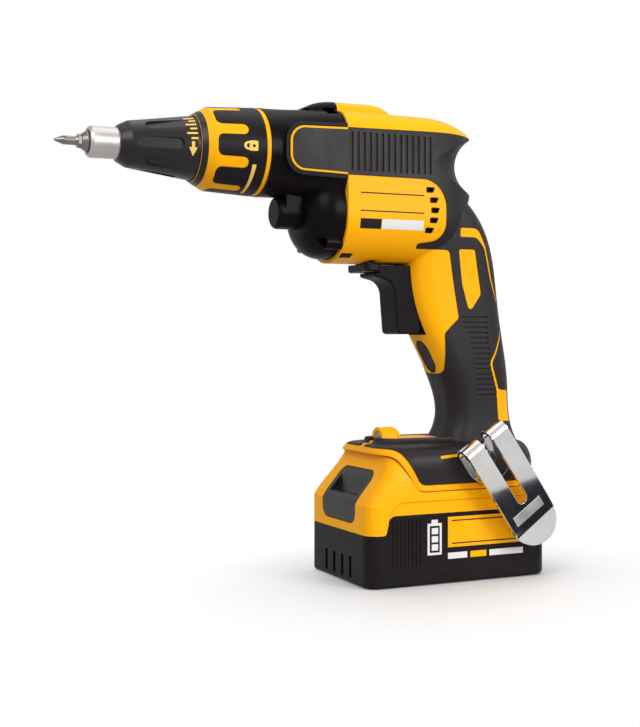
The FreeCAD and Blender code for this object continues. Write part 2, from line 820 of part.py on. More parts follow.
def housing_cavities():
    """Room inside the housing for the motor, the switch, the slides and the pack rails."""
    rear_seat = cylinder_x(REAR_BEARING_X - 1, REAR_BEARING_X + BEARING_WIDTH, BEARING_R + BEARING_FIT, MOTOR_Z)
    motor = cylinder_x(JOINT_X - 1, REAR_BEARING_X - 0.5, MOTOR_BORE_R, MOTOR_Z)
    grip = handle_form(WALL).common(box(-FAR, FAR, -FAR, FAR, CONTROLLER_LOW_Z, SWITCH_HIGH_Z + 1))
    trigger = box(
        JOINT_X, SWITCH_FRONT_X, -TRIGGER_HALF - TRIGGER_GAP, TRIGGER_HALF + TRIGGER_GAP,
        TRIGGER_LOW_Z - TRIGGER_GAP, TRIGGER_HIGH_Z + TRIGGER_GAP,
    )
    upper = prism_y(
        rectangle(-50.0, 3.0, MOTOR_Z + MOTOR_BORE_R + 4, BARREL_TOP_Z - 8, 4), -UPPER_ROOM, UPPER_ROOM)
    cuts = [rear_seat, motor, grip, trigger, upper, reverse_slot(), lock_window(), light_room()]
    return cuts + foot_channel() + case_screw_holes() + motor_vents()


def foot_channel():
    """Slide channel under the foot, open to the front."""
    neck = RAIL_NECK_HALF + RAIL_GAP
    lip = RAIL_LIP_HALF + RAIL_GAP
    low = box(-FAR, CHANNEL_BACK_X, -neck, neck, PACK_DECK_Z - 10, CHANNEL_TOP_Z)
    high = box(-FAR, CHANNEL_BACK_X, -lip, lip, RAIL_LIP_Z - RAIL_GAP, CHANNEL_TOP_Z)
    return [low, high]


# Gear case, motor and gears

def case_room(clearance):
    """Inside of the gear case: a round room for the drive gear over a smaller one for the pinion."""
    big = CASE_R - CASE_WALL - clearance
    small = CASE_LOW_ROOM_R - clearance
    front = CASE_FRONT_X + CASE_FRONT_WALL
    return join([
        cylinder_x(front, JOINT_X, big),
        cylinder_x(CASE_LOW_ROOM_X, JOINT_X, small, MOTOR_Z),
        box(CASE_LOW_ROOM_X, JOINT_X, -small, small, MOTOR_Z, SPINDLE_Z),
    ])


def case_screw_axes():
    """Case screws along X: y, z and the seat of the head."""
    angle = math.radians(CASE_SCREW_ANGLE)
    y, drop = CASE_SCREW_RADIUS * math.cos(angle), CASE_SCREW_RADIUS * math.sin(angle)
    low_seat = JOINT_X - CASE_SCREW_GRIP
    top = HUMP_TOP_Z - TOP_SCREW_DROP
    return [
        (-y, MOTOR_Z - drop, low_seat),
        (y, MOTOR_Z - drop, low_seat),
        (-TOP_SCREW_Y, top, low_seat),
        (TOP_SCREW_Y, top, low_seat),
    ]


def gear_case():
    """Cast case: round front with a spigot for the collar, a dome over the motor and a bearing pod."""
    low, high = SPINDLE_Z - CASE_R, SPINDLE_Z + CASE_R
    near_round = CASE_R - 0.4
    barrel = loft_x([
        (CASE_FRONT_X, CASE_R, low, high, near_round, near_round),
        (CASE_FRONT_X + 8, CASE_R, low, high, near_round, near_round),
        (CASE_FRONT_X + 24, CASE_R + 0.2, low, high, CASE_R - 5, CASE_R - 5),
        (JOINT_X, CASE_R + 1.4, low - 4, high, CASE_R - 9, CASE_R - 9),
    ])
    dome = revolve_x([
        (DOME_FRONT_X, 0, 0), (DOME_FRONT_X, DOME_R, DOME_ROUND),
        (JOINT_X, DOME_R + 1.4, 0), (JOINT_X, 0, 0),
    ], MOTOR_Z)
    pod_r = BEARING_R + POD_WALL
    pod = revolve_x([
        (POD_FRONT_X, 0, 0), (POD_FRONT_X, pod_r, 2.2), (DOME_FRONT_X + 6, pod_r, 0), (DOME_FRONT_X + 6, 0, 0),
    ], MOTOR_Z)
    web = box(POD_FRONT_X + 4, JOINT_X, -WEB_HALF, WEB_HALF, MOTOR_Z, low + 6)
    spigot = cylinder_x(SPIGOT_FRONT_X, CASE_FRONT_X + 1, SPIGOT_R)
    hump = hump_form().common(box(-FAR, JOINT_X, -FAR, FAR, -FAR, FAR))
    frame = prism_y(tongue_outline(-FRAME), -FRAME_Y, FRAME_Y).common(box(-FAR, JOINT_X, -FAR, FAR, -FAR, FAR))
    ears = []
    for y, z, seat in case_screw_axes()[:2]:
        ears.append(cylinder_x(seat - SCREW_HEAD_H - 2, JOINT_X, SCREW_HEAD_R + 1.1, z, y))
    case = join([barrel, dome, pod, web, spigot, hump, frame] + ears)

    cuts = [case_room(0)]
    seat_y = CASE_R + TONGUE_GAP
    pocket = prism_y(tongue_outline(-TONGUE_GAP), seat_y, FAR)
    cuts += [pocket, mirrored(pocket)]
    cuts.append(cylinder_x(SPIGOT_FRONT_X - 1, CASE_FRONT_X + CASE_FRONT_WALL + 1, BUSH_R))
    bearing_back = POD_FRONT_X + POD_WALL + BEARING_WIDTH
    cuts.append(cylinder_x(POD_FRONT_X + POD_WALL, bearing_back, BEARING_R + BEARING_FIT, MOTOR_Z))
    cuts.append(cylinder_x(bearing_back - 1, CASE_LOW_ROOM_X + 1, SHAFT_R + 1, MOTOR_Z))
    cuts.append(cylinder_x(IDLER_PIN_FRONT_X, CASE_LOW_ROOM_X + 1, IDLER_PIN_R, IDLER_Z))
    window = box(WINDOW_BACK_X - WINDOW_LENGTH, WINDOW_BACK_X, TOP_SCREW_Y, FAR, WINDOW_LOW_Z, WINDOW_HIGH_Z)
    cuts += [window, mirrored(window)]
    for y, z, seat in case_screw_axes():
        cuts.append(cylinder_x(seat - 1, JOINT_X + 1, SCREW_R + SCREW_FIT, z, y))
        front = HUMP_FRONT_X - 1 if z > SPINDLE_Z else seat - CASE_SCREW_RECESS
        cuts.append(cylinder_x(front, seat, SCREW_HEAD_R + 0.3, z, y))
    return case.cut(cuts)


def case_screws():
    """Four screws that hold the gear case to the housing."""
    return group([
        join([
            cylinder_x(seat - SCREW_HEAD_H, seat, SCREW_HEAD_R, z, y),
            cylinder_x(seat, JOINT_X + CASE_SCREW_REACH, SCREW_R, z, y),
        ]).cut(star_socket_x(seat - SCREW_HEAD_H, y, z))
        for y, z, seat in case_screw_axes()
    ])


def star_socket_x(x, y, z):
    """Drive recess in a screw head that faces forward."""
    bars = [box(x - 1, x + SOCKET_DEPTH, y - 1.3, y + 1.3, z - 0.45, z + 0.45)]
    return join([
        bars[0], turned(bars[0], V(x, y, z), V(1, 0, 0), 60), turned(bars[0], V(x, y, z), V(1, 0, 0), 120),
    ])


def turned(shape, centre, axis, angle):
    """Copy turned about any axis."""
    copy = shape.copy()
    copy.rotate(centre, axis, angle)
    return copy


def index_ring():
    """Thin ring between the collar and the gear case."""
    return tube_x(CASE_FRONT_X - RING_WIDTH, CASE_FRONT_X, CASE_R - 0.4, SPIGOT_R)


def gear_plate():
    """Plate that closes the gear case and carries the idler pin and the spindle's tail bush."""
    plate = case_room(MOTOR_FIT).common(box(PLATE_FRONT_X, PLATE_BACK_X, -FAR, FAR, -FAR, FAR))
    holes = [
        cylinder_x(PLATE_FRONT_X - 1, JOINT_X, SHAFT_R + 1.5, MOTOR_Z),
        cylinder_x(PLATE_FRONT_X - 1, JOINT_X, IDLER_PIN_R, IDLER_Z),
        cylinder_x(PLATE_FRONT_X - 1, JOINT_X, SPINDLE_TAIL_R + TAIL_BUSH_WALL),
    ]
    return plate.cut(holes)


def tail_bush():
    """Bush in the plate that guides the spindle's tail."""
    return tube_x(PLATE_FRONT_X - TAIL_BUSH_REACH, PLATE_BACK_X,
                  SPINDLE_TAIL_R + TAIL_BUSH_WALL, SPINDLE_TAIL_R + RUNNING_FIT)


def spindle_bush():
    """Long plain bearing in the spigot."""
    return tube_x(SPIGOT_FRONT_X + 1, CASE_FRONT_X + CASE_FRONT_WALL, BUSH_R, SPINDLE_R + RUNNING_FIT)


def spur_gear(teeth, x0, x1, z, phase):
    """Involute spur gear; phase is the angle of one tooth from straight up."""
    pitch_r = GEAR_MODULE * teeth / 2
    base_r = pitch_r * math.cos(math.radians(PRESSURE_ANGLE))
    tip_r = pitch_r + ADDENDUM * GEAR_MODULE
    root_r = pitch_r - DEDENDUM * GEAR_MODULE
    start_r = max(base_r, root_r)

    def roll(radius):
        tangent = math.sqrt(max((radius / base_r) ** 2 - 1, 0))
        return tangent - math.atan(tangent)

    half_tooth = (math.pi * GEAR_MODULE / 2 - BACKLASH) / (2 * pitch_r)
    points = []
    for i in range(teeth):
        middle = math.radians(phase) + 2 * math.pi * i / teeth
        flank = []
        for step in range(FLANK_STEPS + 1):
            radius = start_r + (tip_r - start_r) * step / FLANK_STEPS
            flank.append((radius, half_tooth + roll(pitch_r) - roll(radius)))
        ring = [(root_r, -flank[0][1])] + [(r, -a) for r, a in flank]
        ring += [(r, a) for r, a in reversed(flank)] + [(root_r, flank[0][1])]
        points += [V(x0, r * math.sin(middle + a), z + r * math.cos(middle + a)) for r, a in ring]
    return Part.Face(Part.makePolygon(points + points[:1])).extrude(V(x1 - x0, 0, 0))


def pinion():
    """Twelve-tooth pinion pressed onto the motor shaft."""
    gear = spur_gear(PINION_TEETH, GEAR_FRONT_X, GEAR_BACK_X, MOTOR_Z, 0)
    return gear.cut(cylinder_x(GEAR_FRONT_X - 1, GEAR_BACK_X + 1, SHAFT_R, MOTOR_Z))


def idler_gear():
    """Idler with a hub on each side that sets its place along the pin."""
    gear = spur_gear(IDLER_TEETH, GEAR_FRONT_X, GEAR_BACK_X, IDLER_Z, 180 - 180 / IDLER_TEETH)
    hub = cylinder_x(CASE_LOW_ROOM_X + SEAT_GAP, PLATE_FRONT_X - SEAT_GAP, IDLER_PIN_R + 1.2, IDLER_Z)
    return join([gear, hub]).cut(cylinder_x(-FAR, 0, IDLER_PIN_R + RUNNING_FIT, IDLER_Z))


def idler_pin():
    """Fixed pin for the idler."""
    return cylinder_x(IDLER_PIN_FRONT_X, PLATE_BACK_X, IDLER_PIN_R, IDLER_Z)


def dogs(x0, x1):
    """Clutch dogs as sectors of a ring."""
    ring = tube_x(x0, x1, CLUTCH_FLANGE_R, DOG_INNER_R)
    half = math.radians(180.0 / DOG_COUNT * DOG_SHARE)
    reach = 2 * CLUTCH_FLANGE_R
    sector = prism_x([
        (0, SPINDLE_Z, 0),
        (reach * math.sin(half), SPINDLE_Z + reach * math.cos(half), 0),
        (-reach * math.sin(half), SPINDLE_Z + reach * math.cos(half), 0),
    ], x0, x1)
    return [ring.common(one) for one in ring_of(sector, DOG_COUNT)]


def drive_gear():
    """Drive gear with a lightened web, a rear hub and clutch dogs on its front."""
    gear = spur_gear(DRIVE_TEETH, GEAR_FRONT_X, GEAR_BACK_X, SPINDLE_Z, 180)
    hub = cylinder_x(GEAR_BACK_X - 1, PLATE_FRONT_X - TAIL_BUSH_REACH - SEAT_GAP, DOG_INNER_R)
    tip = FLANGE_BACK_X + DOG_HEIGHT + PUSH_TRAVEL + CLUTCH_GAP
    base = tube_x(tip + DOG_HEIGHT, GEAR_FRONT_X + 1, CLUTCH_FLANGE_R, DOG_INNER_R)
    gear = join([gear, hub, base] + dogs(tip, tip + DOG_HEIGHT + 0.5))
    return gear.cut(cylinder_x(-FAR, 0, SPINDLE_SEAT_R + RUNNING_FIT))


def spindle():
    """Output spindle: hex socket in front, clutch flange with dogs, gear seat and tail."""
    seat_back = PLATE_FRONT_X - TAIL_BUSH_REACH - PUSH_TRAVEL - 2 * SEAT_GAP
    tail_back = PLATE_BACK_X - PUSH_TRAVEL - SEAT_GAP
    body = join([
        cylinder_x(SPINDLE_FRONT_X, FLANGE_FRONT_X + 1, SPINDLE_R),
        cylinder_x(FLANGE_FRONT_X, FLANGE_BACK_X, CLUTCH_FLANGE_R),
        cylinder_x(FLANGE_BACK_X - 1, seat_back, SPINDLE_SEAT_R),
        cylinder_x(seat_back - 1, tail_back, SPINDLE_TAIL_R),
    ] + dogs(FLANGE_BACK_X - 0.5, FLANGE_BACK_X + DOG_HEIGHT))
    return body.cut(hex_bar(SPINDLE_FRONT_X - 1, SPINDLE_FRONT_X + HEX_DEPTH, HEX_FLATS + 2 * HEX_FIT))


def thrust_washer():
    """Washer between the clutch spring and the spindle's flange."""
    return tube_x(FLANGE_BACK_X, FLANGE_BACK_X + WASHER_T, WASHER_R, SPINDLE_SEAT_R + RUNNING_FIT)


def clutch_spring():
    """Spring that holds the clutch open until the bit is pushed."""
    return coil_spring(FLANGE_BACK_X + WASHER_T + 0.1, GEAR_FRONT_X - 0.1, CLUTCH_SPRING_R, 4, SPINDLE_Z)


def bit_holder():
    """Magnetic bit holder: round sleeve in front, six-sided shank behind."""
    back = HOLDER_FRONT_X + HOLDER_LENGTH
    sleeve = revolve_x([
        (HOLDER_FRONT_X, 0, 0), (HOLDER_FRONT_X, HOLDER_R - 1.6, 0.4), (HOLDER_FRONT_X + 2.4, HOLDER_R, 0.6),
        (back - 1, HOLDER_R, 0), (back, HOLDER_R - 1, 0), (back, 0, 0),
    ])
    shank = hex_bar(back - 1, back + HOLDER_SHANK, HEX_FLATS)
    socket_back = BIT_TIP_X + BIT_LENGTH + HEX_FIT
    socket = hex_bar(HOLDER_FRONT_X - 1, socket_back, HEX_FLATS + 2 * HEX_FIT)
    magnet = cylinder_x(socket_back - 1, socket_back + MAGNET_LENGTH + HEX_FIT, MAGNET_R + HEX_FIT)
    return join([sleeve, shank]).cut([socket, magnet])


def bit_magnet():
    """Round magnet behind the bit."""
    front = BIT_TIP_X + BIT_LENGTH + HEX_FIT
    return cylinder_x(front, front + MAGNET_LENGTH, MAGNET_R)


def driver_bit():
    """Cross-point bit with four flutes at its tip."""
    back = BIT_TIP_X + BIT_LENGTH
    shank = hex_bar(back - BIT_SHANK, back, HEX_FLATS)
    neck = revolve_x([
        (BIT_TIP_X, 0, 0), (BIT_TIP_X, 0.6, 0), (BIT_TIP_X + 4.6, BIT_NECK_R, 1.5),
        (back - BIT_SHANK - 1.2, BIT_NECK_R, 0.5), (back - BIT_SHANK + 0.6, HEX_FLATS / 2, 0),
        (back - BIT_SHANK + 0.6, 0, 0),
    ])
    wedge = prism_x([(0.35, 0.35, 0), (4, 0.6, 0), (4, 4, 0), (0.6, 4, 0)], BIT_TIP_X - 1, BIT_TIP_X + 6)
    wedge.translate(V(0, 0, SPINDLE_Z))
    wedge.rotate(V(BIT_TIP_X, 0, SPINDLE_Z), V(0, 1, -1), -9)
    return join([shank, neck]).cut(ring_of(wedge, 4))


def nosepiece():
    """Steel nose tube that meets the board and sets the depth."""
    back = NOSEPIECE_FRONT_X + NOSEPIECE_LENGTH
    return revolve_x([
        (NOSEPIECE_FRONT_X, NOSEPIECE_BORE_R + 0.6, 0), (NOSEPIECE_FRONT_X, NOSEPIECE_R - 0.9, 0.5),
        (NOSEPIECE_FRONT_X + 1.4, NOSEPIECE_R, 0.5), (CONE_FRONT_X - NOSE_UNDERCUT, NOSEPIECE_R, 0),
        (CONE_FRONT_X - NOSE_UNDERCUT, NOSE_SHANK_R, 0), (back, NOSE_SHANK_R, 0),
        (back, NOSEPIECE_BORE_R, 0), (NOSEPIECE_FRONT_X + 1.2, NOSEPIECE_BORE_R, 0),
    ])


def nose_cone():
    """Pull-off cone with shallow flutes, its skirt over the depth carrier."""
    seat = NOSEPIECE_FRONT_X + NOSEPIECE_LENGTH
    bore = NOSE_SHANK_R + 0.02
    inner = CARRIER_OUT_R + CARRIER_FIT
    slope = (CONE_REAR_R - CONE_SHOULDER_R) / (CONE_STEP_X - CONE_SHOULDER_X)
    room_r = CONE_SHOULDER_R + slope * (seat + 2 - CONE_SHOULDER_X) - CONE_WALL
    room_back = CONE_STEP_X - 3
    cone = revolve_x([
        (CONE_FRONT_X, bore, 0), (CONE_FRONT_X, CONE_FRONT_R, 0.5), (CONE_SHOULDER_X, CONE_SHOULDER_R, 3),
        (CONE_STEP_X, CONE_REAR_R, 0), (CONE_REAR_X, CONE_REAR_R, 0.5), (CONE_REAR_X, inner, 0),
        (room_back, inner, 0), (seat + 2, room_r, 0), (seat + 2, NOSEPIECE_BORE_R + 0.5, 0),
        (seat, NOSEPIECE_BORE_R + 0.5, 0), (seat, bore, 0),
    ])
    flutes = []
    tilt = math.degrees(math.atan(slope))
    for i, one in enumerate((0.0, FLUTE_STAGGER)):
        start = CONE_SHOULDER_X + 3 + one
        base = CONE_SHOULDER_R + slope * (start - CONE_SHOULDER_X) - FLUTE_DEPTH * (0.2 + 0.8 * i)
        flute = prism_z(
            rectangle(0, FLUTE_LENGTH, -FLUTE_WIDTH / 2, FLUTE_WIDTH / 2, FLUTE_WIDTH / 2 - 0.1), 0, 10)
        flute.rotate(V(0, 0, 0), V(0, 1, 0), -tilt + FLUTE_LEAN * (1 - 2 * i))
        flute.translate(V(start, 0, SPINDLE_Z + base))
        flutes += ring_of(flute, FLUTE_COUNT // 2, SPINDLE_Z, 360.0 / FLUTE_COUNT * i)
    return cone.cut(flutes)


def depth_carrier():
    """Sleeve that the collar moves along the spigot and that carries the cone."""
    bore = SPIGOT_R + CARRIER_FIT
    front = CONE_REAR_X + SEAT_GAP
    return join([
        tube_x(CONE_STEP_X, front + 1, CARRIER_OUT_R, bore),
        tube_x(front, front + CARRIER_FLANGE_T, CARRIER_FLANGE_R, bore),
    ])


def collar_form(inset, front_x):
    """Collar outside from the given front, drawn in by the inset."""
    shoulder = COLLAR_FRONT_X + COLLAR_CHAMFER
    profile = [(COLLAR_FRONT_X, 0, 0), (COLLAR_FRONT_X, COLLAR_FRONT_R - inset, 0.3)]
    profile += [(shoulder, COLLAR_SHOULDER_R - inset, 3), (COLLAR_REAR_X, COLLAR_REAR_R - inset, 0.4)]
    profile += [(COLLAR_REAR_X, 0, 0)]
    return revolve_x(profile).common(box(front_x, FAR, -FAR, FAR, -FAR, FAR))


def collar_pieces():
    """Depth collar in two materials: a core with fingers, and a grip with slots for them."""
    start = COLLAR_FRONT_X + COLLAR_CHAMFER + 0.6
    end = start + FINGER_REACH
    half = FINGER_WIDTH / 2
    slot = prism_z([
        (start - 2, -half - 4, 0), (start, -half - 4, 0), (start, -half, 3), (end, -half, half - 0.1),
        (end, half, half - 0.1), (start, half, 3), (start, half + 4, 0), (start - 2, half + 4, 0),
    ], SPINDLE_Z + COLLAR_SHOULDER_R - 6, SPINDLE_Z + COLLAR_REAR_R + 4)
    slots = ring_of(slot, FINGER_COUNT, SPINDLE_Z, 180.0 / FINGER_COUNT)
    whole = collar_form(0, COLLAR_FRONT_X)
    flange_front = CONE_REAR_X + SEAT_GAP - DEPTH_TRAVEL - SEAT_GAP
    flange_back = CONE_REAR_X + SEAT_GAP + CARRIER_FLANGE_T + DEPTH_TRAVEL + SEAT_GAP
    inside = join([
        cylinder_x(COLLAR_FRONT_X - 1, flange_front + 1, CONE_REAR_R + CONE_GAP),
        cylinder_x(flange_front, flange_back, CARRIER_FLANGE_R + SEAT_GAP),
        cylinder_x(flange_back - 1, COLLAR_REAR_X + 1, SPIGOT_R + RUNNING_FIT),
    ])
    grip = collar_form(-GRIP_PROUD, start).cut(collar_form(COLLAR_SKIN, COLLAR_FRONT_X)).cut(slots)
    core = whole.cut(grip).cut(inside)
    return core, grip


# Motor

def stator_core():
    """Laminated ring with inward teeth."""
    back = STATOR_FRONT_X + STATOR_LENGTH
    ring = tube_x(STATOR_FRONT_X, back, STATOR_R, STATOR_R - STATOR_YOKE, MOTOR_Z)
    tooth = box(STATOR_FRONT_X, back, -TOOTH_WIDTH / 2, TOOTH_WIDTH / 2,
                MOTOR_Z + STATOR_BORE_R - 1, MOTOR_Z + STATOR_R - STATOR_YOKE + 1)
    shoe = tube_x(STATOR_FRONT_X, back, STATOR_BORE_R + SHOE_T, STATOR_BORE_R, MOTOR_Z)
    reach = STATOR_BORE_R * math.tan(math.radians(180.0 / STATOR_TEETH - 7))
    sector = prism_x([(0, MOTOR_Z, 0), (reach * 2, MOTOR_Z + 2 * STATOR_BORE_R, 0),
                      (-reach * 2, MOTOR_Z + 2 * STATOR_BORE_R, 0)], STATOR_FRONT_X, back)
    teeth = ring_of(tooth, STATOR_TEETH, MOTOR_Z) + ring_of(shoe.common(sector), STATOR_TEETH, MOTOR_Z)
    return join([ring] + teeth).cut(cylinder_x(STATOR_FRONT_X - 1, back + 1, STATOR_BORE_R, MOTOR_Z))


def stator_coils():
    """One copper coil round every tooth."""
    front, back = STATOR_FRONT_X - COIL_OVERHANG, STATOR_FRONT_X + STATOR_LENGTH + COIL_OVERHANG
    low = STATOR_BORE_R + SHOE_T
    high = STATOR_R - STATOR_YOKE - COIL_CLEAR
    half = TOOTH_WIDTH / 2
    block = prism_z(rectangle(front, back, -half - COIL_THICKNESS, half + COIL_THICKNESS, 3),
                    MOTOR_Z + low, MOTOR_Z + high)
    hole = box(STATOR_FRONT_X, STATOR_FRONT_X + STATOR_LENGTH, -half, half, MOTOR_Z, MOTOR_Z + STATOR_R)
    return group(ring_of(block.cut(hole), STATOR_TEETH, MOTOR_Z))


def rotor_core():
    """Rotor stack on the shaft."""
    return tube_x(STATOR_FRONT_X, STATOR_FRONT_X + STATOR_LENGTH,
                  STATOR_BORE_R - AIR_GAP - MAGNET_T, SHAFT_R, MOTOR_Z)


def rotor_magnets():
    """Magnet ring round the rotor stack."""
    outer = STATOR_BORE_R - AIR_GAP
    return tube_x(STATOR_FRONT_X, STATOR_FRONT_X + STATOR_LENGTH, outer, outer - MAGNET_T, MOTOR_Z)


def rotor_shaft():
    """Motor shaft from the pod bearing to the rear bearing."""
    return cylinder_x(POD_FRONT_X + POD_WALL + 0.4, REAR_BEARING_X + BEARING_WIDTH - 0.4, SHAFT_R, MOTOR_Z)


def cooling_fan():
    """Fan disc with swept blades on its front."""
    front = STATOR_FRONT_X + STATOR_LENGTH + COIL_OVERHANG + FAN_GAP
    back = front + FAN_WIDTH
    disc = cylinder_x(back - 1.4, back, FAN_R, MOTOR_Z)
    hub = cylinder_x(front, back, ROTOR_HUB_R, MOTOR_Z)
    blade = box(front, back - 1, -0.6, 0.6, MOTOR_Z + ROTOR_HUB_R - 1, MOTOR_Z + FAN_R - 0.3)
    blade.rotate(V(0, 0, MOTOR_Z + ROTOR_HUB_R), V(1, 0, 0), 25)
    blades = [b.common(cylinder_x(front, back, FAN_R, MOTOR_Z)) for b in ring_of(blade, FAN_BLADES, MOTOR_Z)]
    return join([disc, hub] + blades).cut(cylinder_x(front - 1, back + 1, SHAFT_R, MOTOR_Z))


def motor_bearings():
    """Ball bearings at the two ends of the motor shaft."""
    fronts = (POD_FRONT_X + POD_WALL, REAR_BEARING_X)
    return group([tube_x(x, x + BEARING_WIDTH, BEARING_R, SHAFT_R + BEARING_FIT, MOTOR_Z) for x in fronts])


# Trigger, switch and buttons

def trigger():
    """Trigger with a finger hollow, and the plunger that works the switch."""
    front_low = TRIGGER_BACK_X - 15.2
    lip = REVERSE_LOW_Z - TRIGGER_GAP
    neck = REVERSE_FRONT_X + REVERSE_LENGTH + TRIGGER_GAP
    outline = [
        (neck, TRIGGER_HIGH_Z, 0),
        (neck, lip, 0),
        (TRIGGER_BACK_X - 29.4, lip, 0.6),
        (TRIGGER_BACK_X - 29.0, lip - 2.2, 1.5),
        (TRIGGER_BACK_X - 17.0, TRIGGER_HIGH_Z - 9.2, 9),
        (front_low - 0.4, TRIGGER_LOW_Z + 12, 40),
        (front_low + 0.6, TRIGGER_LOW_Z, 2.5),
        (TRIGGER_BACK_X, TRIGGER_LOW_Z, 1),
        (TRIGGER_BACK_X, TRIGGER_HIGH_Z, 0),
    ]
    body = prism_y(outline, -TRIGGER_HALF, TRIGGER_HALF)
    edges = []
    for edge in body.Edges:
        bounds = edge.BoundBox
        on_side = bounds.YLength < 1e-6
        in_front = bounds.XMax < TRIGGER_BACK_X - 6 and bounds.ZMax < lip - 1
        if on_side and in_front:
            edges.append(edge)
    body = body.makeFillet(TRIGGER_ROUND, edges)
    plunger = cylinder_x(TRIGGER_BACK_X - 2, TRIGGER_BACK_X + PLUNGER_LENGTH, PLUNGER_R, PLUNGER_Z)
    return join([body, plunger])


def trigger_spring():
    """Return spring round the plunger, from the trigger to the switch's pocket."""
    back = SWITCH_FRONT_X + SPRING_POCKET
    return coil_spring(TRIGGER_BACK_X + 0.1, back - 0.1, (PLUNGER_R + SPRING_POCKET_R) / 2, 5, PLUNGER_Z)


def switch_module():
    """Variable-speed switch that fills the grip behind the trigger."""
    back = SWITCH_FRONT_X + SWITCH_LENGTH
    room = box(SWITCH_FRONT_X, back, -FAR, FAR, SWITCH_LOW_Z, SWITCH_HIGH_Z)
    body = handle_form(WALL + SEAT_GAP).common(room)
    pocket = cylinder_x(SWITCH_FRONT_X - 1, SWITCH_FRONT_X + SPRING_POCKET, SPRING_POCKET_R, PLUNGER_Z)
    reach = TRIGGER_BACK_X + PLUNGER_LENGTH + TRIGGER_TRAVEL + SEAT_GAP
    guide = cylinder_x(SWITCH_FRONT_X, reach, PLUNGER_R + PLUNGER_FIT, PLUNGER_Z)
    return body.cut([pocket, guide])


def reverse_button():
    """Cross bar under the barrel that sets the turning direction, with a stem in the housing."""
    back = REVERSE_FRONT_X + REVERSE_LENGTH
    top = REVERSE_LOW_Z + REVERSE_HEIGHT
    bar = prism_z(rectangle(REVERSE_FRONT_X, back, -REVERSE_HALF, REVERSE_HALF, 3), REVERSE_LOW_Z, top)
    low_edges = [e for e in bar.Edges if e.BoundBox.ZMax < REVERSE_LOW_Z + 1e-3]
    bar = bar.makeFillet(1.2, low_edges)
    stem = box(REVERSE_FRONT_X + 3, back - 3, -REVERSE_STEM_HALF, REVERSE_STEM_HALF,
               top - 1, top + REVERSE_STEM_HEIGHT)
    return join([bar, stem])


def reverse_slot():
    """Room in the barrel's belly for the stem of the reverse button over its whole travel."""
    half = REVERSE_STEM_HALF + REVERSE_TRAVEL + SEAT_GAP
    top = REVERSE_LOW_Z + REVERSE_HEIGHT + REVERSE_STEM_HEIGHT + SEAT_GAP
    return box(REVERSE_FRONT_X + 3 - SEAT_GAP, REVERSE_FRONT_X + REVERSE_LENGTH - 3 + SEAT_GAP,
               -half, half, REVERSE_LOW_Z, top)


def lock_outline(margin):
    """Front outline of the lock button, widened by the margin."""
    half = LOCK_HALF + margin
    return rectangle(-half, half, LOCK_LOW_Z - margin, LOCK_HIGH_Z + margin, LOCK_HALF - 0.6 + margin)


def lock_button():
    """Lock button under the trigger, with a flange behind the wall that keeps it in."""
    front_only = HANDLE_STATIONS[2][1] + LOCK_DEPTH + 3
    plate = handle_form(LOCK_RECESS).common(prism_x(lock_outline(0), -FAR, front_only))
    flange = handle_form(WALL + LOCK_GAP).common(prism_x(lock_outline(LOCK_FLANGE), -FAR, front_only))
    return join([plate, flange]).cut(handle_form(LOCK_RECESS + LOCK_DEPTH))


def lock_window():
    """Opening in the handle's front wall for the lock button."""
    return prism_x(lock_outline(LOCK_GAP), -FAR, HANDLE_STATIONS[2][1])


def motor_controller():
    """Potted controller that fills the lower grip."""
    room = box(CONTROLLER_FRONT_X, CONTROLLER_FRONT_X + CONTROLLER_LENGTH, -FAR, FAR,
               CONTROLLER_LOW_Z, CONTROLLER_HIGH_Z)
    post_r = SCREW_HEAD_R + BOSS_WALL + SEAT_GAP
    posts = [cylinder_y(-FAR, FAR, post_r, x, z) for x, z, seat in grip_screws()]
    return carve(handle_form(WALL + SEAT_GAP).common(room), posts)


# Work light, terminals and belt hook

def light_lens():
    """Clear lens at the mouth of the lamp hood."""
    lens = cylinder_x(LAMP_FRONT_X, LAMP_FRONT_X + LENS_LENGTH, LENS_R, LAMP_Z)
    front = [e for e in lens.Edges if e.BoundBox.XMax < LAMP_FRONT_X + 1e-3]
    return lens.makeFillet(1.2, front)


def light_board():
    """Small round board with its emitter behind the lens."""
    x = LAMP_FRONT_X + LENS_LENGTH
    emitter = box(x, x + 1.2, -1.2, 1.2, LAMP_Z - 1.2, LAMP_Z + 1.2)
    return join([cylinder_x(x + 1, x + 1 + BOARD_THICKNESS, LENS_R, LAMP_Z), emitter])


def light_room():
    """Bore in the hood for the lens and its board."""
    depth = LENS_LENGTH + 1 + BOARD_THICKNESS
    return cylinder_x(-FAR, LAMP_FRONT_X + depth, LENS_R + LAMP_FIT, LAMP_Z)


def terminal_rows():
    """Sideways places of the terminals."""
    return [TERMINAL_PITCH * (i - (TERMINAL_COUNT - 1) / 2) for i in range(TERMINAL_COUNT)]


def terminal_block():
    """Block under the foot that holds the blades."""
    half = RAIL_NECK_HALF - 1
    block = box(BLOCK_FRONT_X, CHANNEL_BACK_X, -half, half, PACK_DECK_Z + 1, CHANNEL_TOP_Z)
    slots = [box(BLOCK_FRONT_X - 1, BLOCK_FRONT_X + TERMINAL_ROOT, y - TERMINAL_THICKNESS / 2,
                 y + TERMINAL_THICKNESS / 2, BLADE_LOW_Z, BLADE_HIGH_Z) for y in terminal_rows()]
    return block.cut(slots)


def tool_terminals():
    """Flat blades that reach forward into the pack."""
    blades = []
    for y in terminal_rows():
        blades.append(box(BLOCK_FRONT_X - TERMINAL_REACH, BLOCK_FRONT_X + TERMINAL_ROOT,
                          y - TERMINAL_THICKNESS / 2, y + TERMINAL_THICKNESS / 2, BLADE_LOW_Z, BLADE_HIGH_Z))
    return group(blades)


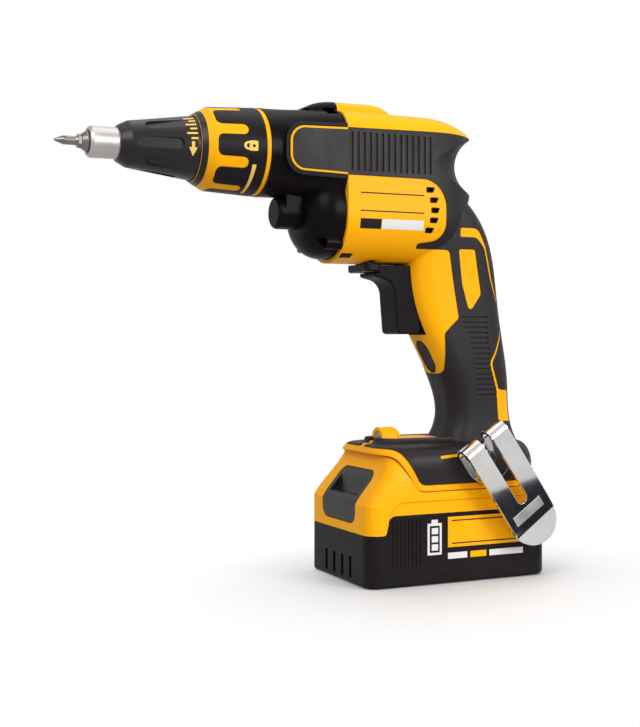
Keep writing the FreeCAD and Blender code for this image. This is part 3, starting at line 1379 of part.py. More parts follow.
def hook_place(shape):
    """Put a shape drawn with the hook upright into its tilted place."""
    shape.rotate(V(0, 0, 0), V(0, 1, 0), -HOOK_TILT)
    shape.translate(V(HOOK_TOP_X, 0, HOOK_TOP_Z))
    return shape


def belt_hook():
    """Steel strap folded over at the top: a short leaf on the foot and a long outer blade with a slot."""
    near = -HOOK_SEAT_Y
    far = near - HOOK_GAP - 2 * HOOK_THICKNESS
    thick = HOOK_THICKNESS
    outer_r = (near - far) / 2 - 0.05
    bend = [
        (near, -HOOK_INNER_LENGTH, 0), (near, 0, outer_r), (far, 0, outer_r),
        (far - HOOK_BOW, -HOOK_LENGTH / 2, HOOK_BOW_R),
        (far, -HOOK_LENGTH + HOOK_LIP, 12), (far - HOOK_FLARE, -HOOK_LENGTH, 0),
        (far - HOOK_FLARE + thick, -HOOK_LENGTH, 0), (far + thick, -HOOK_LENGTH + HOOK_LIP, 12),
        (far + thick - HOOK_BOW, -HOOK_LENGTH / 2, HOOK_BOW_R),
        (far + thick, -thick, outer_r - thick), (near - thick, -thick, outer_r - thick),
        (near - thick, -HOOK_INNER_LENGTH, 0),
    ]
    half = HOOK_WIDTH / 2
    strap = prism_x(bend, -half, half)
    tip = half - 0.2
    face = [(-half, 1, 0), (half, 1, 0), (half, -HOOK_LENGTH, tip), (-half, -HOOK_LENGTH, tip)]
    outer = prism_y(face, far - HOOK_FLARE - 1, far + thick + 1)
    leaf_r = half - 0.4
    leaf = [(-half, 1, 0), (half, 1, 0), (half, -HOOK_INNER_LENGTH, leaf_r), (-half, -HOOK_INNER_LENGTH, leaf_r)]
    inner = prism_y(leaf, far + thick + 1, near + 1)
    strap = strap.common(join([outer, inner]))
    slot_half = HOOK_SLOT / 2
    long_slot = rectangle(-slot_half, slot_half, -HOOK_SLOT_LENGTH, 30, slot_half - 0.1)
    short_slot = rectangle(-slot_half, slot_half, -HOOK_SHORT_SLOT, 30, slot_half - 0.1)
    strap = strap.cut(prism_y(long_slot, far - 1, far + thick + 1))
    strap = strap.cut(prism_y(short_slot, far - 1, near + 1))
    strap = strap.cut(cylinder_y(near - thick - 1, near + 1, HOOK_SCREW_R + SCREW_FIT, 0, -HOOK_SCREW_DROP))
    return hook_place(strap)


def hook_screw():
    """Screw that holds the belt hook to the foot."""
    near = -HOOK_SEAT_Y - HOOK_THICKNESS
    shank = cylinder_y(near, near + HOOK_SCREW_LENGTH, HOOK_SCREW_R, 0, -HOOK_SCREW_DROP)
    head = cylinder_y(near - HOOK_SCREW_HEAD_H, near, HOOK_SCREW_HEAD_R, 0, -HOOK_SCREW_DROP)
    edge = [e for e in head.Edges if e.BoundBox.YMax < near - HOOK_SCREW_HEAD_H + 1e-3]
    head = head.makeFillet(HOOK_SCREW_HEAD_H * 0.6, edge)
    return hook_place(join([shank, head]))


def hook_screw_hole():
    """Pilot hole in the foot for the hook's screw."""
    near = -HOOK_SEAT_Y - HOOK_THICKNESS
    return hook_place(cylinder_y(near - 1, near + HOOK_SCREW_LENGTH + 0.5, HOOK_SCREW_R + SCREW_FIT,
                                 0, -HOOK_SCREW_DROP))


def housing_screws():
    """Screws that close the two housing halves, from the +Y side."""
    screws = []
    for x, z, seat in screw_places():
        head = cylinder_y(seat, seat + SCREW_HEAD_H, SCREW_HEAD_R, x, z)
        screws.append(join([head, cylinder_y(-SCREW_REACH, seat, SCREW_R, x, z)]))
    return group(screws)


def housing_screw_holes():
    """Holes and head recesses for the housing screws."""
    holes = []
    for x, z, seat in screw_places():
        shank = cylinder_y(-SCREW_REACH - 1, seat + 1, SCREW_R + SCREW_FIT, x, z)
        holes.append(join([shank, cylinder_y(seat, FAR / 4, SCREW_HEAD_R + 0.3, x, z)]))
    return holes


def grip_screws():
    """The housing screws that cross the hollow grip."""
    return [place for place in screw_places() if CONTROLLER_LOW_Z < place[1] < SWITCH_HIGH_Z]


def housing_bosses():
    """Posts inside the grip for the screws that cross it."""
    return [cylinder_y(-BARREL_HALF, BARREL_HALF, SCREW_HEAD_R + BOSS_WALL, x, z)
            for x, z, seat in grip_screws()]


def case_screw_holes():
    """Pilot holes in the housing for the gear-case screws."""
    return [cylinder_x(JOINT_X - 1, JOINT_X + CASE_SCREW_REACH + 0.5, SCREW_R + SCREW_FIT, z, y)
            for y, z, seat in case_screw_axes()]


def motor_vents():
    """Row of slanted vents behind the motor panel on both sides."""
    vents = []
    for i in range(VENT_COUNT):
        share = 2.0 * i / (VENT_COUNT - 1) - 1
        z = MOTOR_Z + VENT_RISE + VENT_SPAN / 2 * share
        x = VENT_X - VENT_BOW * share * share
        half = VENT_LENGTH / 2
        vent = prism_y([(x - half, z - 1.2, 0.5), (x + half - 1, z - 1.2, 0.5),
                        (x + half, z + 1.2, 0.5), (x - half, z + 1.2, 0.5)], -FAR / 4, FAR / 4)
        vents.append(vent)
    return vents


# Battery pack

def pack_form(inset):
    """Pack outside: a straight body with a rounded base, and a head that slopes back to its top."""
    half_l, half_w = PACK_LENGTH / 2 - inset, PACK_WIDTH / 2 - inset
    corner = PACK_CORNER_R - inset
    back_r = PACK_BACK_R - inset
    knee = PACK_KNEE_Z
    base = loft_z([
        (inset, -half_l + PACK_BASE_ROUND, half_l - PACK_BASE_ROUND, half_w - PACK_BASE_ROUND,
         corner - PACK_BASE_ROUND, back_r - PACK_BASE_ROUND),
        (inset + PACK_BASE_ROUND * 0.35, -half_l + PACK_BASE_ROUND * 0.35, half_l - PACK_BASE_ROUND * 0.35,
         half_w - PACK_BASE_ROUND * 0.35, corner - PACK_BASE_ROUND * 0.35, back_r - PACK_BASE_ROUND * 0.35),
        (inset + PACK_BASE_ROUND, -half_l, half_l, half_w, corner, back_r),
        (knee, -half_l, half_l, half_w, corner, back_r),
    ], True)
    rise = PACK_HEAD_Z - knee
    stations = [(knee, -half_l, half_l, half_w, corner, back_r)]
    for i in range(1, HEAD_STEPS + 1):
        share = i / HEAD_STEPS
        front = -half_l + PACK_HEAD_SETBACK * math.sin(math.pi / 2 * share) ** 1.25
        draft = PACK_TOP_DRAFT + (PACK_HEAD_DRAFT - PACK_TOP_DRAFT) * share ** 2.2
        stations.append((knee + rise * share - inset * share, front, half_l - 0.5 * draft, half_w - draft * share,
                         corner, back_r))
    return join([base, loft_z(stations)])


def seam_outline(top):
    """Side outline of the stepped seam between the pack's two cases, closed above or below."""
    step = PACK_SIDE_SEAM_Z - PACK_FRONT_SEAM_Z
    return [
        (-FAR, PACK_FRONT_SEAM_Z, 0),
        (PACK_SEAM_STEP_X - step * SEAM_LEAN, PACK_FRONT_SEAM_Z, 2),
        (PACK_SEAM_STEP_X, PACK_SIDE_SEAM_Z, 5),
        (FAR, PACK_SIDE_SEAM_Z, 0),
        (FAR, top, 0),
        (-FAR, top, 0),
    ]


def pack_screw_places():
    """Corner screws of the pack."""
    x = PACK_LENGTH / 2 - PACK_SCREW_INSET_X
    y = PACK_WIDTH / 2 - PACK_SCREW_INSET_Y
    return [(sx * x, sy * y) for sx in (-1, 1) for sy in (-1, 1)]


def release_outline(margin):
    """Front outline of the release button, widened by the margin."""
    half = RELEASE_HALF + margin
    return rectangle(-half, half, RELEASE_LOW_Z - margin, RELEASE_HIGH_Z + margin, RELEASE_CORNER_R + margin)


def release_button():
    """Release button that follows the head, with a finger scoop and a flange behind the wall."""
    plate = pack_form(RELEASE_RECESS).common(prism_x(release_outline(0), -FAR, RELEASE_BACK_X))
    flange = pack_form(PACK_WALL + RELEASE_GAP).common(
        prism_x(release_outline(RELEASE_FLANGE), -FAR, RELEASE_BACK_X))
    button = join([plate, flange]).cut(pack_form(RELEASE_RECESS + RELEASE_DEPTH))
    boss = cylinder_x(RELEASE_BACK_X - 2 * RELEASE_DEPTH, RELEASE_BACK_X, RELEASE_SPRING_R + 1, RELEASE_SPRING_Z)
    button = join([button, boss.common(pack_form(PACK_WALL + RELEASE_GAP))])
    block = pack_form(RELEASE_RECESS).common(prism_x(release_outline(-1), -FAR, RELEASE_BACK_X))
    button = join([button, block.common(box(-FAR, FAR, -FAR, FAR, RELEASE_BLOCK_Z, FAR))])
    scoop = prism_y([
        (-FAR, SCOOP_LEDGE_Z - SCOOP_LEAN, 0),
        (-PACK_LENGTH / 2, SCOOP_LEDGE_Z - SCOOP_LEAN / 2, 0),
        (SCOOP_FLOOR_X, SCOOP_LEDGE_Z, 2),
        (SCOOP_FLOOR_X + SCOOP_LEAN, RELEASE_HIGH_Z - SCOOP_MARGIN / 2, 2),
        (-FAR, RELEASE_HIGH_Z - SCOOP_MARGIN / 2, 0),
    ], -RELEASE_HALF + SCOOP_MARGIN, RELEASE_HALF - SCOOP_MARGIN)
    return button.cut(scoop)


def side_panels():
    """Shallow sunk panel on each side of the pack, arched at its front, with upright grooves there."""
    side = PACK_WIDTH / 2 - PANEL_DEPTH
    panel = prism_y([
        (PANEL_FRONT_X, PANEL_LOW_Z, 4), (PANEL_BACK_X, PANEL_LOW_Z, 4),
        (PANEL_BACK_X, PANEL_HIGH_Z, 4), (PANEL_FRONT_X, PANEL_HIGH_Z, 10),
    ], side, FAR)
    cuts = [panel]
    for i in range(PANEL_RIB_COUNT):
        x = PANEL_FRONT_X + PANEL_RIB_PITCH * (i + 1)
        high = PACK_SIDE_SEAM_Z - PANEL_RIB_PITCH
        cuts.append(box(x, x + PANEL_RIB_WIDTH, side - PANEL_RIB_DEPTH, FAR,
                        PANEL_LOW_Z + PANEL_RIB_PITCH, high))
    return cuts + [mirrored(one) for one in cuts]


def pack_cases():
    """Lower and upper case of the pack, hollow, with corner posts, deck, rails and terminal slots."""
    whole = pack_form(0).common(prism_y(parting_outline(PACK_GAP, 0), -FAR, FAR)).cut(side_panels())
    below = prism_y(parting_outline(PACK_GAP + PACK_WALL, 0), -FAR, FAR)
    room = pack_form(PACK_WALL).common(below)
    posts = []
    for x, y in pack_screw_places():
        post = cylinder_z(PACK_WALL / 2, PACK_DECK_Z - 3, SCREW_HEAD_R + BOSS_WALL, x, y)
        posts.append(post.common(pack_form(1)))
    shell = join([whole.cut(room)] + posts)
    cuts = [prism_x(release_outline(RELEASE_GAP), -FAR, -PACK_LENGTH / 2 + PACK_HEAD_SETBACK + 4)]
    cuts[0] = cuts[0].cut(box(-FAR, FAR, -FAR, FAR, -FAR, FAR).cut(pack_form(-1)))
    for i in range(FRONT_VENT_COUNT):
        y = FRONT_VENT_PITCH * (i - (FRONT_VENT_COUNT - 1) / 2)
        half = FRONT_VENT_WIDTH / 2
        vent = rectangle(y - half, y + half, FRONT_VENT_LOW_Z, FRONT_VENT_HIGH_Z, 0.8)
        cuts.append(prism_x(vent, -FAR, -PACK_LENGTH / 2 + PACK_WALL + 1))
    for x, y in pack_screw_places():
        cuts.append(cylinder_z(-1, PACK_SCREW_SEAT, SCREW_HEAD_R + 0.3, x, y))
        cuts.append(cylinder_z(0, PACK_SCREW_TOP + 0.5, SCREW_R + SCREW_FIT, x, y))
    shell = shell.cut(cuts)
    lower = shell.common(prism_y(seam_outline(-10), -FAR, FAR))
    upper = shell.common(prism_y(seam_outline(FAR), -FAR, FAR))
    upper = join([upper, pack_rails()])
    slots = []
    for y in terminal_rows():
        slots.append(box(BLOCK_FRONT_X - TERMINAL_REACH - 1, RAIL_BACK_X + 1, y - TERMINAL_SLOT / 2,
                         y + TERMINAL_SLOT / 2, PACK_DECK_Z + 1, RAIL_TOP_Z + 1))
    return lower, upper.cut(slots)


def pack_rails():
    """Rail block on the deck, with lips that run in the foot's channel."""
    front = RAIL_FRONT_X
    deck = PACK_DECK_Z - PACK_GAP - PACK_WALL / 2
    neck = box(front, RAIL_BACK_X, -RAIL_NECK_HALF, RAIL_NECK_HALF, deck, RAIL_TOP_Z)
    lips = box(front + 6, RAIL_BACK_X, -RAIL_LIP_HALF, RAIL_LIP_HALF, RAIL_LIP_Z, RAIL_TOP_Z)
    seat = cylinder_x(front - RELEASE_SPRING_SEAT, front + 3, RELEASE_SPRING_R + 1, RELEASE_SPRING_Z)
    return join([neck, lips, seat])


def pack_terminals():
    """Spring clips on both sides of every terminal slot."""
    clips = []
    for y in terminal_rows():
        for side in (-1, 1):
            wall = y + side * (TERMINAL_SLOT / 2)
            low, high = sorted((wall, wall - side * CLIP_THICKNESS))
            clips.append(box(BLOCK_FRONT_X - TERMINAL_REACH, RAIL_BACK_X - 2, low, high,
                             PACK_DECK_Z + 1, BLADE_HIGH_Z))
    return group(clips)


def cell_axes():
    """Cell places: x and z."""
    first = -(CELLS_PER_ROW - 1) / 2 * CELL_PITCH
    return [(first + i * CELL_PITCH, CELL_LOW_Z + row * CELL_PITCH)
            for row in range(CELL_ROWS) for i in range(CELLS_PER_ROW)]


def battery_cells():
    """Round cells in two rows, lying across the pack."""
    half = CELL_LENGTH / 2
    return group([cylinder_y(-half, half, CELL_R, x, z) for x, z in cell_axes()])


def cell_holder():
    """Two end frames with a round seat for each cell."""
    reach = (CELLS_PER_ROW - 1) / 2 * CELL_PITCH + CELL_R + HOLDER_MARGIN
    outer = PACK_WIDTH / 2 - PACK_WALL - SEAT_GAP
    frame = box(-reach, reach, outer - HOLDER_THICKNESS, outer, PACK_WALL + PACK_BASE_ROUND, HOLDER_TOP_Z)
    foot = reach - PACK_BASE_ROUND
    feet = box(-foot, foot, outer - HOLDER_THICKNESS, outer - 3, PACK_WALL, PACK_WALL + PACK_BASE_ROUND)
    frame = join([frame, feet]).common(pack_form(PACK_WALL + SEAT_GAP).fuse(feet))
    post_r = SCREW_HEAD_R + BOSS_WALL + SEAT_GAP
    frame = carve(frame, [cylinder_z(0, PACK_DECK_Z, post_r, x, y) for x, y in pack_screw_places() if y > 0])
    for x, z in cell_axes():
        cell_hole = cylinder_y(outer - HOLDER_THICKNESS - 1, CELL_LENGTH / 2 + CELL_FIT, CELL_R + CELL_FIT, x, z)
        frame = frame.cut(cell_hole)
    return group([frame, mirrored(frame)])


def pack_board():
    """Circuit board on top of the cell frames."""
    half = PACK_WIDTH / 2 - PACK_WALL - HOLDER_THICKNESS + 4
    return box(-PACK_BOARD_HALF, PACK_BOARD_HALF, -half, half, HOLDER_TOP_Z, HOLDER_TOP_Z + BOARD_THICKNESS)


def pack_screws():
    """Four corner screws from below."""
    screws = []
    for x, y in pack_screw_places():
        head = cylinder_z(PACK_SCREW_SEAT - SCREW_HEAD_H, PACK_SCREW_SEAT, SCREW_HEAD_R, x, y)
        screws.append(join([head, cylinder_z(PACK_SCREW_SEAT, PACK_SCREW_TOP, SCREW_R, x, y)]))
    return group(screws)


def release_spring():
    """Spring behind the release button, seated on the front of the rail block."""
    back = RAIL_FRONT_X - RELEASE_SPRING_SEAT
    return coil_spring(RELEASE_BACK_X + 0.1, back - 0.1, RELEASE_SPRING_R, 3, RELEASE_SPRING_Z)


def export(name, shape):
    """Write one node, with its solids checked."""
    assert shape.isValid(), name
    assert len(shape.Solids) > 0, name
    shape.exportStep("parts/" + name + ".step")
    print(name, len(shape.Solids), "solids", round(shape.Volume / 1000, 2), "cm3")


def main():
    os.makedirs("parts", exist_ok=True)
    for name, shape in housing_and_skins().items():
        export(name, shape)
    collar_core, collar_grip = collar_pieces()
    lower_case, upper_case = pack_cases()
    nodes = {
        "gear_case": gear_case(),
        "gear_case_screws": case_screws(),
        "index_ring": index_ring(),
        "gear_plate": gear_plate(),
        "tail_bush": tail_bush(),
        "spindle_bush": spindle_bush(),
        "motor_pinion": pinion(),
        "idler_gear": idler_gear(),
        "idler_pin": idler_pin(),
        "drive_gear": drive_gear(),
        "spindle": spindle(),
        "thrust_washer": thrust_washer(),
        "clutch_spring": clutch_spring(),
        "bit_holder": bit_holder(),
        "bit_magnet": bit_magnet(),
        "driver_bit": driver_bit(),
        "nosepiece": nosepiece(),
        "nose_cone": nose_cone(),
        "depth_carrier": depth_carrier(),
        "collar_core": collar_core,
        "collar_grip": collar_grip,
        "stator_core": stator_core(),
        "stator_coils": stator_coils(),
        "rotor_core": rotor_core(),
        "rotor_magnets": rotor_magnets(),
        "rotor_shaft": rotor_shaft(),
        "cooling_fan": cooling_fan(),
        "motor_bearings": motor_bearings(),
        "trigger": trigger(),
        "trigger_spring": trigger_spring(),
        "switch_module": switch_module(),
        "reverse_button": reverse_button(),
        "lock_button": lock_button(),
        "motor_controller": motor_controller(),
        "light_lens": light_lens(),
        "light_board": light_board(),
        "terminal_block": terminal_block(),
        "tool_terminals": tool_terminals(),
        "belt_hook": belt_hook(),
        "belt_hook_screw": hook_screw(),
        "housing_screws": housing_screws(),
        "pack_lower_case": lower_case,
        "pack_upper_case": upper_case,
        "release_button": release_button(),
        "release_spring": release_spring(),
        "battery_cells": battery_cells(),
        "cell_holder": cell_holder(),
        "pack_board": pack_board(),
        "pack_terminals": pack_terminals(),
        "pack_screws": pack_screws(),
    }
    for name, shape in nodes.items():
        export(name, shape)


main()
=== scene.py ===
import json
import math

import bpy
import numpy as np
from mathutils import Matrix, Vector


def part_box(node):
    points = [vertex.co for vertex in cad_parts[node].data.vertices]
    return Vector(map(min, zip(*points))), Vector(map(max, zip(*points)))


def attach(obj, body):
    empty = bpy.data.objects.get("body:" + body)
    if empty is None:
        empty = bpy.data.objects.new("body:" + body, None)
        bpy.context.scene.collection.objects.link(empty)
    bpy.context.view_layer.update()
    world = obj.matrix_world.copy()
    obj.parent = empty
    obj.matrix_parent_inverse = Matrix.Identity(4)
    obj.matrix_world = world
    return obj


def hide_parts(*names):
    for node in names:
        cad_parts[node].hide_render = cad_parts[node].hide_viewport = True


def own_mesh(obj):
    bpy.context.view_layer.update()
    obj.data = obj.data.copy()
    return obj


# Cordless drywall screwdriver: finishes, springs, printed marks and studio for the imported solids.
# Lengths are in millimetres and become metres where a mesh is made.
# Lamps, camera and the floor's shading are in metres.
MM = 0.001

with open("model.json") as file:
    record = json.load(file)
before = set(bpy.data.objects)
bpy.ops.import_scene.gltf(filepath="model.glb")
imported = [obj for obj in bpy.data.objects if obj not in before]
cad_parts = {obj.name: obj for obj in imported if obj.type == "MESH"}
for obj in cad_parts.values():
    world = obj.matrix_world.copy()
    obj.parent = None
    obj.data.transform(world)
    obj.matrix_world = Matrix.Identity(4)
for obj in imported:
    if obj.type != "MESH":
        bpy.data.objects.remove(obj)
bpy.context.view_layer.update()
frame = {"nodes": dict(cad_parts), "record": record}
nodes = frame["nodes"]
bodies = frame["record"]["behaviour"]["bodies"]
slot_of = {part["node"]: part["material_slot"] for part in frame["record"]["subparts"]}
body_of = {node: body for body, members in bodies.items() for node in members}

# Axes that the marks share with the solids
SPINDLE_Z = (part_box("spindle")[0].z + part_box("spindle")[1].z) / 2 / MM
MOTOR_Z = (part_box("rotor_shaft")[0].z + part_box("rotor_shaft")[1].z) / 2 / MM

# Half the thickness of a printed mark
PRINT = 0.08

# Springs
WIRE_R = 0.5
WIRE_AROUND = 10
WIRE_PER_TURN = 28

# Cone, straight from its shoulder to its rear edge, with its depth scale
CONE_FRONT_X = -181.0
CONE_FRONT_R = 12.2
CONE_REAR_X = -147.0
CONE_REAR_R = 17.0
TICK_ANGLES = np.linspace(58.0, 10.0, 6)
TICK_HALF_ANGLE = 1.8
TICK_REAR_X = -147.2
LONG_TICK = 5.6
SHORT_TICK = 3.6
ARROW_X = -149.8
ARROW_ANGLE = 4.0
ARROW_SWEEP = 26.0
ARROW_STEM = 0.4
ARROW_STEP = 0.001
ARROW_HEAD_STATIONS = (0.6, 0.8, 1.0)
ARROW_ACROSS = 7
ARROW_STEM_HALF = 0.8
ARROW_HEAD_HALF = 2.2
ARROW_POINT = 1.04

# Collar, with a chamfer at its front and a straight grip behind it
CHAMFER_FRONT_X = -145.4
CHAMFER_FRONT_R = 17.9
CHAMFER_REAR_R = 22.0
COLLAR_FRONT_X = -138.4
COLLAR_FRONT_R = 22.3
COLLAR_REAR_X = -111.2
COLLAR_REAR_R = 23.9
# Dark ring on the front of the chamfer: painted shade of the gap between cone and collar
GAP_SHADE_X = (-145.3, -142.4)
GAP_SHADE_AROUND = 96
PADLOCK_R = 23.4
PADLOCK_X = -118.7
PADLOCK_HALF_LENGTH = 2.4
PADLOCK_HALF_WIDTH = 2.7
PADLOCK_ROUNDING = 0.12
PADLOCK_POWER = 6
SHACKLE_X = -121.0
SHACKLE_INNER_R = 1.25
SHACKLE_OUTER_R = 2.35
SHACKLE_STRETCH = 1.35
KEYHOLE_X = -118.6
KEYHOLE_R = 0.8
LOW_BAND_X = -117.6
LOW_BAND_LEAN = 0.8
LOW_BAND_HALF = 1.1
LOW_BAND_TAPER = 0.4
LOW_BAND_ANGLE = -24.0
LOW_BAND_SWEEP = 54.0

# Motor panel, flat above and on the belly's arc below, with its label and vents
PANEL_Y = 27.0
BELLY_R = 26.0
BELLY_DROP = 1.0
LABEL_FRONT_X = -57.5
LABEL_REAR_X = -18.0
RULE_HEIGHTS = (214.4, 204.6)
RULE_HALF = 0.32
BAR_LOW_Z = 195.0
BAR_HIGH_Z = 200.4
DARK_BAR_REAR_X = -44.6
PALE_BAR_FRONT_X = -44.2
# Flat dark mark low on the belly: painted shade of a slot's opening
BELLY_SLOT_SHADE_X = (-64.0, -57.0)
BELLY_SLOT_SHADE_Z = (179.6, 181.8)
VENT_COUNT = 5
VENT_X = -10.6
VENT_BOW = 3.2
VENT_RISE = 2.6
VENT_SPAN = 22.5
VENT_HALF_LENGTH = 2.2
VENT_HALF_HEIGHT = 1.2
VENT_SLANT = 1.0
LINER_AROUND = 48
LINER_FLANGE_LONG = 0.60
LINER_FLANGE_TALL = 0.35
LINER_FLANGE_TOP = 0.15
LINER_FLANGE_FOOT = -0.05
LINER_GAP = 0.05
LINER_WALL = 0.35
LINER_DEPTH = 3.0

# Sunk panel on the pack's side
PACK_PANEL_Y = 36.7

# Belt hook's blade, which runs down and back and is bowed out to a line across it, with its bare plate
HOOK_FACE_Y = -48.9
HOOK_TOP_X = 7.4
HOOK_TOP_Z = 81.4
HOOK_TILT = math.radians(34.5)
HOOK_BOW = 1.0
HOOK_BOW_AT = 36.0
HOOK_BOW_END = 60.0
PLATE_ACROSS = (-11.0, 10.0)
PLATE_ALONG = (48.8, 54.8)

# Finishes, linear colours
YELLOW = (0.90, 0.385, 0.0012)
YELLOW_RUBBED = (0.95, 0.48, 0.015)
BLACK = (0.010, 0.0075, 0.0085)
BLACK_RUBBED = (0.045, 0.040, 0.042)
RUBBER = (0.013, 0.0100, 0.0108)
RUBBER_RUBBED = (0.050, 0.043, 0.045)
CASE = (0.0045, 0.0030, 0.0034)
CASE_RUBBED = (0.045, 0.040, 0.040)
STEEL = (0.53, 0.50, 0.49)
STEEL_RUBBED = (0.78, 0.76, 0.74)
# Yellow of the printed marks, lightened towards cream: yellow print with a painted highlight
HIGHLIT_YELLOW = (0.82, 0.52, 0.11)
LENS_HAZY = (0.86, 0.88, 0.90)
LENS_CLEAR = (0.94, 0.95, 0.96)

# How fine and how strong grain, lines, wear and unevenness are on mouldings and on metal
FINE_GRAIN = 4.0
FINE_GRAIN_SHARE = 0.4
HAND_MARK_SIZE = 70.0
TURNING_SIZE = 500.0
LENS_HAZE_SIZE = 300.0
MOULDED_EDGE_WEAR = 0.45
MOULDED_HAND_MARKS = 0.05
MOULDED_DULLING = 0.12
MOULDED_ROUGH_SWING = 0.05
MOULDED_GRAIN = 0.35
METAL_STAIN = 0.12
METAL_EDGE_WEAR = 0.7
METAL_ROUGH_SWING = 0.2
METAL_LINES = 0.3

# Studio cards, in millimetres
FLOOR_HALF = 3000.0
FLOOR_DROP = 0.4
FLAG_LOW = (100.0, -420.0)
FLAG_HIGH = (900.0, -100.0)

# Aim of the lamps, floor shading and world: lengths in metres, colours linear
PART_MIDDLE = (0.0, 0.0, 0.14)
FLOOR_PALE = (0.75, 0.748, 0.746)
FLOOR_PALEST = (0.77, 0.768, 0.766)
# Floor colour where the occlusion finds the part close by: painted shadow
FLOOR_SHADED = (0.5, 0.49, 0.49)
FLAG_DARKEST = (0.012, 0.013, 0.018)
FLAG_DARK = (0.016, 0.017, 0.022)
# Disc in front of the part where the grey floor shows and fades out: painted shadow, with the cast shadows
# inside it
SHADOW_DISC_CENTRE = (0.0, -0.05, 0.0)
SHADOW_DISC_START = 0.06
SHADOW_DISC_END = 0.16
FLOOR_SHADE_REACH = 0.2
WORLD_FILL = 0.52
WORLD_IN_REFLECTIONS = 0.40

# Camera: its place in metres, its sensor in millimetres and the picture in pixels
PICTURE_HEIGHT = 727
HORIZON_ROW = 337
FOCAL_PIXELS = 1273.5
SENSOR = 36.0
CAMERA_PLACE = (-0.3736, -0.6420, 0.1358)
CAMERA_DIRECTION = (0.4283, 0.9036, 0.0)
CAMERA_NEAR = 0.01


# Shader nodes

def add(tree, kind, **settings):
    """New node with its settings and the plain values of its sockets."""
    node = tree.nodes.new(kind)
    for key, value in settings.items():
        if hasattr(node, key):
            setattr(node, key, value)
        else:
            node.inputs[key].default_value = value
    return node


def math_node(tree, operation, a, b):
    """Sum, product or larger of two values; each is a number or an output socket."""
    node = add(tree, "ShaderNodeMath", operation=operation)
    for socket, value in zip(node.inputs, (a, b)):
        if isinstance(value, (int, float)):
            socket.default_value = value
        else:
            tree.links.new(value, socket)
    return node.outputs[0]


def ramp(tree, value, low=0.0, high=1.0, out_low=0.0, out_high=1.0):
    """Straight map of a value from one range to another, held at the ends."""
    node = add(tree, "ShaderNodeMapRange")
    for socket, number in zip(node.inputs[1:5], (low, high, out_low, out_high)):
        socket.default_value = number
    tree.links.new(value, node.inputs[0])
    return node.outputs[0]


def mixed(tree, mask, low, high):
    """Colour between two plain colours or sockets by a mask."""
    node = add(tree, "ShaderNodeMix", data_type="RGBA")
    tree.links.new(mask, node.inputs["Factor"])
    ends = [socket for socket in node.inputs if socket.type == "RGBA"]
    for socket, colour in zip(ends, (low, high)):
        if isinstance(colour, tuple):
            socket.default_value = colour + (1.0,)
        else:
            tree.links.new(colour, socket)
    return [socket for socket in node.outputs if socket.type == "RGBA"][0]


def new_material(name):
    """Material with its node tree and its shader."""
    material = bpy.data.materials.new(name)
    material.use_nodes = True
    return material, material.node_tree, material.node_tree.nodes["Principled BSDF"]


# Shader groups for what several finishes share

def new_group(name, value, outputs):
    """Empty shader group with one value to set and named outputs."""
    group = bpy.data.node_groups.new(name, "ShaderNodeTree")
    group.interface.new_socket(value, in_out="INPUT", socket_type="NodeSocketFloat")
    for label, kind in outputs:
        group.interface.new_socket(label, in_out="OUTPUT", socket_type=kind)
    return group, group.nodes.new("NodeGroupInput"), group.nodes.new("NodeGroupOutput")


def noise_on(tree, place, **settings):
    """Noise read at a place, with the noise's own values."""
    noise = add(tree, "ShaderNodeTexNoise", **settings)
    tree.links.new(place, noise.inputs["Vector"])
    return noise


def moulded_grain_group():
    """Fine pebbled mould texture: a small noise plus one four times finer, and a broad uneven tone."""
    group, start, end = new_group(
        "moulded grain", "Size", [("Height", "NodeSocketFloat"), ("Tone", "NodeSocketFloat")])
    place = add(group, "ShaderNodeTexCoord").outputs["Object"]
    coarse = noise_on(group, place, Detail=2.0)
    fine = noise_on(group, place, Detail=1.0)
    broad = noise_on(group, place, Scale=38.0, Detail=4.0, Roughness=0.6)
    group.links.new(start.outputs["Size"], coarse.inputs["Scale"])
    group.links.new(math_node(group, "MULTIPLY", start.outputs["Size"], FINE_GRAIN), fine.inputs["Scale"])
    finer = math_node(group, "MULTIPLY", fine.outputs[0], FINE_GRAIN_SHARE)
    group.links.new(math_node(group, "ADD", coarse.outputs[0], finer), end.inputs["Height"])
    group.links.new(ramp(group, broad.outputs[0], low=0.3, high=0.7), end.inputs["Tone"])
    return group


def edge_rub_group():
    """Edges worn by handling: how far the rounded normal leans from the face, broken up by a noise."""
    group, start, end = new_group(
        "edge rub", "Radius", [("Mask", "NodeSocketFloat"), ("Normal", "NodeSocketVector")])
    bevel = add(group, "ShaderNodeBevel", samples=4)
    face = add(group, "ShaderNodeNewGeometry")
    lean = add(group, "ShaderNodeVectorMath", operation="DOT_PRODUCT")
    place = add(group, "ShaderNodeTexCoord").outputs["Object"]
    noise = noise_on(group, place, Scale=160.0, Detail=5.0, Roughness=0.7)
    group.links.new(start.outputs["Radius"], bevel.inputs["Radius"])
    group.links.new(bevel.outputs[0], lean.inputs[0])
    group.links.new(face.outputs["Normal"], lean.inputs[1])
    edge = ramp(group, lean.outputs["Value"], low=0.985, high=0.80)
    broken = ramp(group, noise.outputs[0], low=0.35, high=0.75)
    group.links.new(math_node(group, "MULTIPLY", edge, broken), end.inputs["Mask"])
    group.links.new(bevel.outputs[0], end.inputs["Normal"])
    return group


